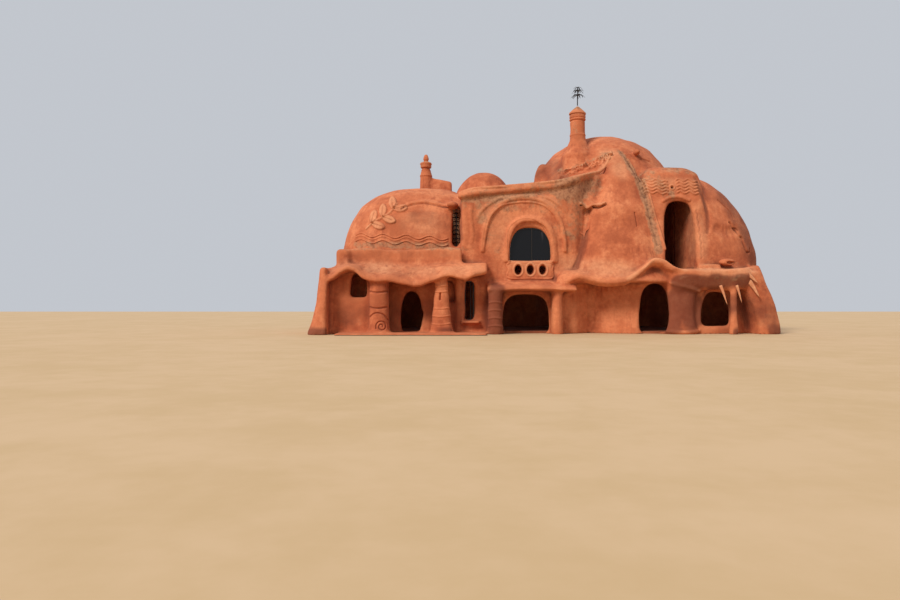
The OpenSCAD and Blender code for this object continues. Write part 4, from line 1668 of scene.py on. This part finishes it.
@dataclass
class Middle(ClayPart):
    """The middle's upper wall, with its mouldings and the roof's lip, which runs up to the cone."""

    front: Span = (-4.6, -3.9)
    wall: Span = (-4.7, -3.6)
    outer: Line = (
        (-3.25, 4.1), (-3.12, 5.1), (-2.95, 5.9), (-2.65, 6.4), (-2.1, 6.75), (-1.0, 6.88),
        (-0.2, 6.75), (0.3, 6.4), (0.62, 5.9), (0.78, 5.2), (0.84, 4.6),
    )
    inner: Line = (
        (-1.98, 4.1), (-1.98, 5.3), (-1.55, 5.86), (-0.95, 6.02),
        (-0.4, 5.86), (0.02, 5.4), (0.3, 4.7), (0.36, 4.1),
    )
    panel: Line = (
        (-1.9, 2.9), (-1.92, 3.3), (-1.9, 3.68), (-0.78, 3.7),
        (0.34, 3.68), (0.36, 3.3), (0.34, 2.9), (-0.78, 2.88),
    )
    fold: Line = ((-3.65, 5.7), (-3.3, 6.45), (-2.4, 7.05), (-1.25, 7.2), (0.1, 7.1), (0.95, 6.5), (1.2, 5.8))
    lip: tuple[Place, ...] = (
        (-4.45, -4.05, 7.36), (-3.72, -4.1, 7.58), (-2.4, -4.12, 7.68), (-1.3, -4.15, 7.76),
        (-0.2, -4.12, 7.87), (0.9, -4.1, 8.02), (1.8, -3.95, 8.26), (2.5, -3.4, 8.5),
        (3.1, -2.9, 8.7), (3.45, -2.5, 9.0), (3.7, -2.28, 9.4), (3.93, -2.0, 9.95),
    )
    lip_radius: float = 0.085
    oval_middle: Span = (-0.775, 3.33)
    oval_pitch: float = 0.64

    def marks(self) -> list[Mark]:
        """Lays out the raised lines round the big window, the panel and its three ovals.

        Returns:
            All the lines of the middle.
        """
        x, z = self.oval_middle
        rings = [oval(x + k * self.oval_pitch, z, 0.25, 0.33, 10) for k in (-1, 0, 1)]
        side = ((-3.75, 7.1), (-3.9, 6.2), (-3.8, 5.2), (-3.95, 4.3))
        return [
            Mark(side, 0.16, 0.05, self.wall, taper=0.8),
            Mark(self.fold, 0.13, 0.05, self.wall, taper=0.9),
            Mark(self.outer, 0.08, 0.05, self.front, taper=0.9),
            Mark(self.inner, 0.06, 0.03, self.front, taper=0.5),
            Mark(self.panel, 0.06, 0.035, self.front, closed=True),
            Mark(((-1.9, 3.77), (-0.78, 3.78), (0.35, 3.77)), 0.06, 0.06, self.front, tint=0.7),
            *(Mark(ring, 0.07, 0.05, (-4.5, -4.0), closed=True, tint=0.9) for ring in rings),
        ]

    def additions(self) -> list[Blob | Strand]:
        """Returns the thin edge of the roof's lip."""
        return [Strand(self.lip, self.lip_radius)]

    def washes(self) -> list[Wash]:
        """Lays out the stains of the middle.

        Returns:
            Crust under the lip and beside the arch, and pale clay, partly a painted highlight, on the lip,
            the arch and the hood.
        """
        front, near = (-5.0, -3.0), (-5.0, -3.5)
        edge = ((-4.3, 7.45), (0.0, 7.9), (1.8, 8.3), (3.2, 8.75), (3.9, 9.9))
        return [
            *washed(
                Mask.WEATHER,
                (((1.1, 7.6), (2.0, 7.7), (2.6, 7.9)), 1.0, 0.62, front),
                (((1.3, 7.4), (1.9, 6.6), (1.6, 5.4)), 1.0, 0.5, front),
                (((-4.2, 6.9), (-2.8, 7.2), (-0.4, 7.5), (1.0, 7.6)), 0.7, 0.42, front),
                (((-4.3, 7.0), (0.0, 7.35), (2.6, 8.0)), 0.25, 0.26, (-5.2, -3.2)),
                (((0.6, 5.6), (1.2, 4.9), (1.4, 4.2)), 0.5, 0.3, front),
                (((-3.5, 6.4), (-2.9, 5.2), (-2.5, 4.4)), 0.6, 0.36, front),
                (((-3.2, 6.1), (-2.6, 6.3), (-1.9, 6.4)), 0.5, 0.3, front),
                (((-2.8, 6.9), (-1.2, 6.7), (0.6, 6.5)), 0.6, 0.34, front),
            ),
            *washed(
                Mask.PALE,
                (edge, 0.2, 0.75, (-5.2, -1.6)),
                (((-3.3, 6.3), (-2.4, 6.1), (-2.6, 4.8)), 0.8, 0.4, near),
                (((-2.6, 7.0), (-1.0, 7.2), (0.6, 6.8)), 0.4, 0.45, near),
                (((-1.8, 3.6), (0.2, 3.6)), 0.3, 0.5, (-5.0, -4.0)),
            ),
        ]


@dataclass
class RightWing(ClayPart):
    """The niche block, the right dome and the wavy skirt under them."""

    niche_front: Span = (-4.4, -2.9)
    niche_wave_z: float = 7.76
    niche_wave_gap: float = 0.17
    dome_front: Span = (-4.6, -2.0)
    drain: Span = (6.75, 7.7)
    skirt: tuple[Place, ...] = (
        (2.6, -5.36, 2.84), (3.4, -5.36, 2.76), (3.95, -5.36, 2.8), (4.3, -5.36, 2.94),
        (4.66, -5.34, 3.14), (4.9, -5.34, 3.44), (5.11, -5.38, 3.66), (5.41, -5.36, 3.82),
        (5.88, -5.32, 3.72), (6.34, -5.32, 3.4), (6.91, -5.3, 3.24), (7.83, -5.25, 3.2),
        (8.77, -5.2, 3.2), (9.5, -5.16, 3.22), (10.06, -5.0, 3.28), (10.4, -4.85, 3.26),
    )
    flap: tuple[Place, ...] = ((6.3, -5.0, 2.62), (6.75, -5.12, 2.5), (7.25, -5.08, 2.36), (7.75, -4.9, 2.2))
    drape_rows: tuple[tuple[float, float, float, float], ...] = (
        (-5.0, 2.98, 0.3, 0.28),
        (-4.82, 2.66, 0.34, 0.36),
    )
    drape_folds: int = 9
    drape_start: float = 6.8
    drape_pitch: float = 0.4
    drape_retreat: float = 0.02
    drape_swing: float = 0.05
    drape_turn: float = 2.1
    drape_blend: float = 0.24

    def waves(self) -> list[Mark]:
        """Lays out the wavy lines at the top of the niche block.

        Returns:
            Five lines on each side of the drain hole.
        """
        marks = []
        for row in (2, 1, 0, -1, -2):
            z = self.niche_wave_z + row * self.niche_wave_gap
            for start, end in ((5.3, 6.5), (7.0, 8.15)):
                line = ((start, z), ((start + end) / 2, z), (end, z - 0.1))
                marks.append(Mark(line, 0.068, 0.065, self.niche_front, wave=0.06, period=0.5))
        return marks

    def marks(self) -> list[Mark]:
        """Lays out the niche's waves, hood and ribs, and the dome's fold, cracks and dent.

        Returns:
            All the lines of the wing.
        """
        dome, hole = self.dome_front, oval(*self.drain, 0.13, 0.13, 8)
        upper = ((9.88, 5.88), (10.28, 5.48), (10.44, 5.22), (10.61, 5.04))
        lower = ((10.61, 5.04), (10.7, 4.75), (10.78, 4.5), (10.96, 4.26))
        marks = [
            *self.waves(),
            Mark(((6.2, 6.95), (6.6, 7.14), (7.1, 7.18), (7.6, 7.0)), 0.12, 0.07, (-4.4, -3.4)),
            Mark(((8.1, 8.2), (8.35, 7.3), (8.6, 6.3), (8.5, 5.3)), 0.22, -0.05, (-4.6, -2.4)),
            Mark(((6.2, 0.14), (7.0, 0.1), (7.9, 0.16)), 0.12, 0.07, (-6.4, -4.0)),
            Mark(((9.4, 7.13), (9.7, 6.85), (10.06, 6.47), (10.2, 6.1)), 0.05, -0.045, dome),
            Mark(upper, 0.09, -0.1, dome, wave=0.03, period=0.5),
            Mark(lower, 0.1, -0.12, dome, wave=0.03, period=0.4),
            Mark(((10.1, 5.6), (10.3, 5.62), (10.45, 5.5)), 0.05, -0.05, dome),
            Mark(((10.94, 4.28), (11.08, 4.34), (11.14, 4.55)), 0.06, -0.07, dome),
            Mark(((9.15, 5.5), (9.7, 5.34), (10.2, 5.5)), 0.42, -0.1, dome),
            Mark(hole, 0.06, 0.04, (-4.5, -3.3), closed=True),
        ]
        for x, height, period in ((7.95, 0.014, 0.5), (8.06, -0.02, 0.37)):
            line = ((x, 3.9), (x + 0.02, 4.6), (x - 0.02, 5.6), (x - 0.1, 6.5))
            marks.append(Mark(line, 0.07, height, (-4.5, -3.3), sway=0.03, period=period))
        return marks

    def additions(self) -> list[Blob | Strand]:
        """Lays out the drain hole, the vent, the drape under the eave, and the skirt's thin edges.

        Returns:
            All that is added to the wing.
        """
        drape = []
        for y, z, depth, height in self.drape_rows:
            for i in range(self.drape_folds):
                x = self.drape_start + self.drape_pitch * i
                swing = self.drape_swing * math.cos(self.drape_turn * i)
                centre = (x, y + self.drape_retreat * i, z - swing)
                drape.append(Blob(centre, (self.drape_pitch, depth, height), blend=self.drape_blend))
        return [
            Blob((self.drain[0], -3.95, self.drain[1]), (0.09, 0.4, 0.09), hollow=True),
            Blob((9.3, -4.62, 3.7), (0.42, 0.34, 0.19)),
            Blob((9.42, -4.92, 3.68), (0.26, 0.26, 0.07), hollow=True),
            *drape,
            Strand(self.skirt, 0.07),
            Strand(((7.95, -4.72, 3.42), (8.35, -4.74, 3.44), (8.78, -4.7, 3.42)), 0.17, 0.05),
            Strand(self.flap, 0.07, 0.1),
        ]

    def washes(self) -> list[Wash]:
        """Lays out the wing's stains, pale places and painted shade.

        Returns:
            Crust on the niche and the terrace, pale edges, and painted shade under the eave, on the funnel
            pillar, on the walls below and on the right dome's far side.
        """
        front, top, low, eave = (-5.0, -3.0), (-5.0, -1.0), (-6.5, -3.5), (-6.5, -4.4)
        rise = ((4.0, 2.8), (4.9, 3.45), (5.4, 3.85), (5.9, 3.75), (6.9, 3.27))
        return [
            *washed(
                Mask.WEATHER,
                (((4.9, 8.9), (5.9, 8.3), (6.3, 7.4)), 0.6, 0.4, top),
                (((6.6, 8.75), (8.2, 8.6)), 0.5, 0.4, top),
                (((7.6, 3.6), (9.4, 3.6), (11.4, 3.7)), 0.2, 0.35, (-6.5, -3.0)),
                (((6.7, 2.9), (7.6, 2.8), (9.0, 2.8), (10.2, 2.9)), 0.4, 0.3, eave),
                (((6.75, 7.6), (6.75, 7.1)), 0.25, 0.6, front),
            ),
            *washed(
                Mask.PALE,
                (rise, 0.13, 0.8, eave),
                (((6.9, 3.27), (10.4, 3.27)), 0.13, 0.8, eave),
                (((6.4, 2.6), (7.0, 2.45), (7.75, 2.25)), 0.15, 0.6, eave),
                (((7.9, 6.6), (8.1, 5.4), (8.1, 4.2)), 0.5, 0.5, front),
                (((5.4, 7.9), (8.0, 7.75)), 0.6, 0.6, front),
                (((7.8, 3.2), (9.2, 3.1), (10.6, 3.3)), 0.4, 0.7, low),
            ),
            # Painted shade on the right dome's far side, under the eave and its skirt, on the funnel pillar
            # and on the walls below.
            *washed(
                Mask.DAMP,
                (((10.0, 7.3), (10.8, 6.0), (11.4, 4.2)), 1.4, 0.6, (-4.6, 2.0)),
                (((6.6, 2.75), (8.3, 2.7), (10.2, 2.8)), 0.55, 0.75, eave),
                (((8.45, 3.6), (8.5, 2.2)), 0.5, 0.4, eave),
                (((6.3, 0.6), (7.0, 2.2), (7.4, 0.8)), 1.1, 1.0, (-6.5, -3.6)),
                (((8.3, 1.4), (10.0, 1.6), (11.2, 1.0)), 1.3, 0.6, (-6.5, -2.0)),
            ),
        ]


@dataclass
class Roof(ClayPart):
    """The hall dome and the chimneys, with a rough rim of small lumps behind the lip."""

    rubble_count: int = 64
    rubble_seed: int = 5
    rubble_front: Span = (-3.4, 0.8)
    rubble_foot: Span = (1.25, 9.02)
    rubble_run: float = 2.55
    rubble_rise: Span = (0.5, 0.42)
    rubble_depth: float = 0.42
    main_rings: tuple[Place, ...] = (
        (12.36, 0.06, -0.05), (12.16, 0.06, -0.04), (12.0, 0.06, -0.03), (11.2, 0.08, 0.02),
    )
    small_rings: tuple[Place, ...] = (
        (9.93, 0.1, 0.06), (9.62, 0.08, -0.06), (9.2, 0.07, 0.03), (10.1, 0.07, -0.05),
    )

    def rubble(self) -> list[Mark]:
        """Lays out the rim of small lumps.

        Returns:
            A short raised line for each lump.
        """
        rng = np.random.default_rng(self.rubble_seed)
        (foot_x, foot_z), (even, steep) = self.rubble_foot, self.rubble_rise
        marks = []
        for share in np.linspace(0.0, 1.0, self.rubble_count):
            x = foot_x + self.rubble_run * share + rng.uniform(-0.05, 0.05)
            z = foot_z + even * share + steep * share**3 - rng.uniform(0.0, self.rubble_depth)
            turn, length = rng.uniform(0.0, 0.9), rng.uniform(0.05, 0.16)
            line = ((x, z), (x + length * math.cos(turn), z + length * math.sin(turn)))
            width, height, tint = rng.uniform(0.07, 0.12), rng.uniform(0.03, 0.1), rng.uniform(0.0, 0.6)
            marks.append(Mark(line, width, height, self.rubble_front, tint=tint))
        return marks

    def marks(self) -> list[Mark]:
        """Adds a crease in the hall dome and the chimneys' rings to the rubble.

        Returns:
            All the lines of the roof.
        """
        marks = [Mark(((5.5, 9.9), (5.8, 9.72), (6.3, 9.6)), 0.07, -0.05, (-3.0, 2.0)), *self.rubble()]
        chimneys = (
            ((1.7, 2.35, 3.0), (-1.3, 0.4), self.main_rings),
            ((-7.0, -6.44, -5.9), (0.5, 2.2), self.small_rings),
        )
        for (left, middle, right), depths, rings in chimneys:
            for z, width, height in rings:
                line = ((left, z), (middle, z + 0.02), (right, z))
                marks.append(Mark(line, width, height, depths, all_round=True))
        return marks

    def additions(self) -> list[Blob | Strand]:
        """Returns the knob on the hall dome."""
        return [Blob((5.46, -1.55, 10.02), (0.17, 0.34, 0.17))]

    def washes(self) -> list[Wash]:
        """Lays out the stains, pale places and painted shade of the roof.

        Returns:
            Crust and pale clay at the chimneys' tops, darker clay down the main chimney, and painted shade on
            the hall dome.
        """
        chimney = (-2.0, 1.0)
        return [
            *washed(
                Mask.WEATHER,
                (((2.0, 12.8), (2.7, 12.8)), 0.3, 0.55, chimney),
                (((1.95, 12.0), (2.3, 11.2)), 0.45, 0.3, chimney),
                (((-6.9, 9.9), (-6.0, 9.9)), 0.5, 0.4, (0.4, 2.4)),
                (((1.3, 9.1), (2.5, 9.3), (3.8, 9.9)), 0.35, 0.45, (-3.6, 0.8)),
            ),
            *washed(Mask.PALE, (((2.0, 12.6), (2.7, 12.6)), 0.4, 0.7, chimney)),
            # Painted shade on the hall dome, and darker clay down the main chimney.
            *washed(
                Mask.DAMP,
                (((1.95, 12.3), (2.75, 9.9)), 0.6, 0.35, chimney),
                (((-0.6, 9.3), (0.8, 9.6), (1.2, 8.4)), 1.2, 0.6, (-3.0, 2.0)),
            ),
        ]


@dataclass
class ClayHouse:
    """All the clay of the house, shaped as one skin from what its parts add."""

    materials: dict[Slot, bpy.types.Material]
    slots: dict[str, Slot]
    broad: tuple[str, ...] = ("left", "middle", "right", "hall", "niche", "rear", "upper")
    narrow: str = "right_end_wall"
    sharp: tuple[str, ...] = (
        "main_chimney", "chimney_cap", "small_chimney", "balcony_panel", "window_surround", "window_arch",
    )

    def build(self) -> None:
        """Shapes the clay and shows its pieces."""
        parts = (LeftWing(), Porch(), DrapedCone(), Middle(), RightWing(), Roof())
        nodes = {name: frame["nodes"][name] for name in self.slots}
        broad = tuple(n for n in nodes if n.split("_")[0] in self.broad and n != self.narrow)
        additions = [addition for part in parts for addition in part.additions()]
        clay = ClayField(nodes, broad, self.sharp, additions)
        LOG.info("field of %s samples over %d nodes", clay.grid.shape, len(nodes))
        marks = [mark for part in parts for mark in part.marks()]
        washes = [wash for part in parts for wash in part.washes()]
        for name, made in ClaySkin(clay, marks, washes).pieces().items():
            show(made, self.materials[self.slots[name]], (name,))
            LOG.info("%s: %d faces", made.name, len(made.data.polygons))


def bar_along(path: np.ndarray, wide: np.ndarray, thick: np.ndarray) -> Shell:
    """Sweeps an oval along a path and closes its ends.

    Args:
        path: The middle of each section, one a row.
        wide: Each section's half width, level across the path.
        thick: Each section's half thickness.

    Returns:
        The bar's surface.
    """
    sides = 8
    run = unit(np.gradient(path, axis=0))
    level = unit(np.cross(run, (0.0, 0.0, 1.0)) + np.array((1e-4, 0.0, 0.0)))
    lift = np.cross(level, run)
    angle = np.arange(sides) * 2 * math.pi / sides
    rings = [
        p + w * np.outer(np.cos(angle), u) + t * np.outer(np.sin(angle), v)
        for p, w, t, u, v in zip(path, wide, thick, level, lift)
    ]
    faces = []
    for i in range(len(path) - 1):
        for k in range(sides):
            a, b = sides * i + k, sides * i + (k + 1) % sides
            faces.append((a, b, b + sides, a + sides))
    count = sides * len(path)
    last = count - sides
    for k in range(0, sides, 2):
        faces.append((count, (k + 2) % sides, k + 1, k))
        faces.append((count + 1, last + k, last + k + 1, last + (k + 2) % sides))
    return Shell(np.concatenate([*rings, path[:1], path[-1:]]), np.array(faces))


@dataclass
class SlitGrille:
    """Scrolls of wrought iron in the slit window."""

    material: bpy.types.Material
    rod: float = 0.02
    curl: float = 0.08
    shrink: float = 0.6
    turn: Span = (-0.5 * math.pi, 1.9 * math.pi)
    samples: int = 22
    rows: int = 9
    first_row: float = 0.6
    spare_rows: float = 0.2

    def build(self) -> None:
        """Makes the scrolls between the window's bars."""
        low, high = node_box("slit_window_bars")
        middle = (low + high) / 2
        turn = np.linspace(*self.turn, self.samples)
        reach = self.curl * (1.0 - self.shrink * np.linspace(0.0, 1.0, self.samples))
        size = np.full(self.samples, self.rod)
        shells = []
        for row in range(self.rows):
            z = low[2] + (row + self.first_row) * (high[2] - low[2]) / (self.rows + self.spare_rows)
            for side in (-1, 1):
                x = middle[0] + side * (self.curl + self.rod) + side * reach * np.cos(turn)
                path = np.stack([x, np.full(self.samples, middle[1]), z + reach * np.sin(turn)], axis=1)
                shells.append(bar_along(path, size, size))
        made = make_object("slit_window_scrolls", shells)
        show(made, self.material)
        LOG.info("%s: %d scrolls", made.name, len(shells))


@dataclass
class FinialLeaves:
    """Thin iron leaves that hang from the finial's rod."""

    material: bpy.types.Material
    length: float = 0.46
    half_width: float = 0.03
    half_thickness: float = 0.007
    whorls: tuple[tuple[float, int], ...] = ((0.55, 6), (0.8, 7), (0.97, 5))
    shortening: float = 0.16
    turn: float = 0.37
    curl: float = 0.12
    lift: float = 0.22
    droop: float = 0.34
    uneven: float = 0.05
    samples: int = 9

    def build(self) -> None:
        """Makes the leaves whorl by whorl, from the lowest up."""
        low, high = node_box("iron_finial")
        foot = (low + high) / 2
        t = np.linspace(0.0, 1.0, self.samples)
        wide = self.half_width * np.sin(math.pi * (0.06 + 0.92 * t)) ** 0.8
        thick = np.full(self.samples, self.half_thickness)
        shells = []
        for whorl, (share, count) in enumerate(self.whorls):
            base = low[2] + share * (high[2] - low[2])
            out = self.length * (1.0 - self.shortening * whorl) * (t - self.curl * t * t)
            for k in range(count):
                angle = 2 * math.pi * (k + self.turn * whorl) / count
                rise = self.lift * t - (self.droop + self.uneven * math.sin(5 * k)) * t * t
                x, y = foot[0] + out * math.cos(angle), foot[1] + out * math.sin(angle)
                shells.append(bar_along(np.stack([x, y, base + rise], axis=1), wide, thick))
        made = make_object("finial_leaves", shells)
        show(made, self.material)
        LOG.info("%s: %d leaves", made.name, len(shells))


@dataclass
class HangingPoints:
    """Pale points of clay at the torn right end of the skirt, each given as foot, tip and half width."""

    material: bpy.types.Material
    half_thickness: float = 0.05
    points: tuple[tuple[Place, Place, float], ...] = (
        ((8.78, -5.1, 2.5), (9.1, -5.22, 1.5), 0.085),
        ((9.6, -5.1, 2.5), (9.82, -5.24, 1.62), 0.08),
        ((10.12, -5.0, 3.16), (10.68, -5.18, 2.6), 0.13),
        ((10.26, -4.92, 2.8), (10.76, -5.16, 1.9), 0.14),
    )
    samples: int = 9
    bend: float = 0.12
    blunt: float = 0.06

    def build(self) -> None:
        """Makes each point, bent a little and tapered towards its tip."""
        t = np.linspace(0.0, 1.0, self.samples)
        taper = self.blunt + (1.0 - self.blunt) * (1.0 - t) ** 0.8
        shells = []
        for foot, tip, half_width in self.points:
            path = np.outer(1.0 - t, foot) + np.outer(t, tip)
            path[:, 0] += self.bend * half_width * np.sin(5.0 * t)
            shells.append(bar_along(path, self.half_thickness * taper, half_width * taper))
        count = sum(len(shell.points) for shell in shells)
        made = make_object("hanging_points", shells, masks={Mask.PALE: np.ones(count)})
        show(made, self.material)
        LOG.info("%s: %d points", made.name, len(shells))


@dataclass
class Studio:
    """The camera, the light and the floor that the house is shown on."""

    eye: Place = (-4.975, -40.7, 1.6)
    lens: float = 28.0
    sensor: float = 36.0
    shift: float = 3 / 900
    view_end: float = 500.0
    sun_way: Place = (0.52, 0.55, -0.65)
    sun_power: float = 2.9
    sun_spread: float = 18.0
    sun_colour: Colour = (1.0, 0.96, 0.9)
    sky: Colour = (0.82, 0.86, 0.93)
    sky_power: float = 0.66
    floor_reach: float = 90.0
    floor_z: float = -0.002
    sand: tuple[Colour, Colour] = ((0.56, 0.38, 0.2), (0.61, 0.42, 0.24))
    floor_roughness: float = 0.95

    def build(self) -> None:
        """Adds the camera, the sun, the sky and the floor."""
        scene = bpy.context.scene
        camera = bpy.data.objects.new("camera", bpy.data.cameras.new("camera"))
        camera.location = self.eye
        camera.rotation_euler = (math.pi / 2, 0.0, 0.0)
        camera.data.lens, camera.data.sensor_width, camera.data.shift_y = self.lens, self.sensor, self.shift
        camera.data.clip_end = self.view_end
        scene.collection.objects.link(camera)
        scene.camera = camera
        sun = bpy.data.objects.new("sun", bpy.data.lights.new("sun", "SUN"))
        sun.data.energy, sun.data.angle = self.sun_power, math.radians(self.sun_spread)
        sun.data.color = self.sun_colour
        sun.rotation_euler = Vector(self.sun_way).to_track_quat("-Z", "Y").to_euler()
        scene.collection.objects.link(sun)
        world = bpy.data.worlds.new("sky")
        world.use_nodes = True
        values = {"Color": (*self.sky, 1.0), "Strength": self.sky_power}
        Graph(world.node_tree).fill(world.node_tree.nodes["Background"], values)
        scene.world = world
        scene.view_settings.view_transform = "Standard"
        self.floor()

    def floor(self) -> None:
        """Adds a pale floor round the house."""
        r, z = self.floor_reach, self.floor_z
        corners = np.array([(-r, -r, z), (r, -r, z), (r, r, z), (-r, r, z)])
        made = make_object("stage_floor", [Shell(corners, np.array([[0, 1, 2, 3]]))])
        material = bpy.data.materials.new("stage")
        material.use_nodes = True
        graph = Graph(material.node_tree)
        tone = graph.effect(Mottle, Vector=graph.place(), Scale=0.2)
        values = {"Base Color": graph.mix(tone, *self.sand), "Roughness": self.floor_roughness}
        graph.fill(material.node_tree.nodes["Principled BSDF"], values)
        made.data.materials.append(material)


def main() -> None:
    """Builds the house's looks in order and reports each step."""
    logging.basicConfig(level=logging.INFO, format="%(message)s")
    finishes = (
        ClayFinish(Slot.CLAY),
        ClayFinish(Slot.PALE),
        ClayFinish(Slot.FLOOR, dark=(0.2, 0.05, 0.02), middle=(0.32, 0.09, 0.036), light=(0.42, 0.135, 0.06)),
        IronFinish(),
        GlassFinish(),
    )
    materials = {finish.slot: finish.build() for finish in finishes}
    slots = {part["node"]: Slot(part["material_slot"]) for part in frame["record"]["subparts"]}
    plain = {name for name, slot in slots.items() if slot in (Slot.IRON, Slot.GLASS)} | {FLAT_FLOOR}
    ClayHouse(materials, {name: slot for name, slot in slots.items() if name not in plain}).build()
    for name in sorted(plain):
        node = frame["nodes"][name]
        node.data.materials.clear()
        node.data.materials.append(materials[slots[name]])
        LOG.info("%s keeps its solid", name)
    rusted = IronFinish(rust=(0.2, 0.1, 0.05), amount=0.75).build()
    SlitGrille(rusted).build()
    HangingPoints(materials[Slot.CLAY]).build()
    FinialLeaves(materials[Slot.IRON]).build()
    Studio().build()


if __name__ == "__main__":
    main()
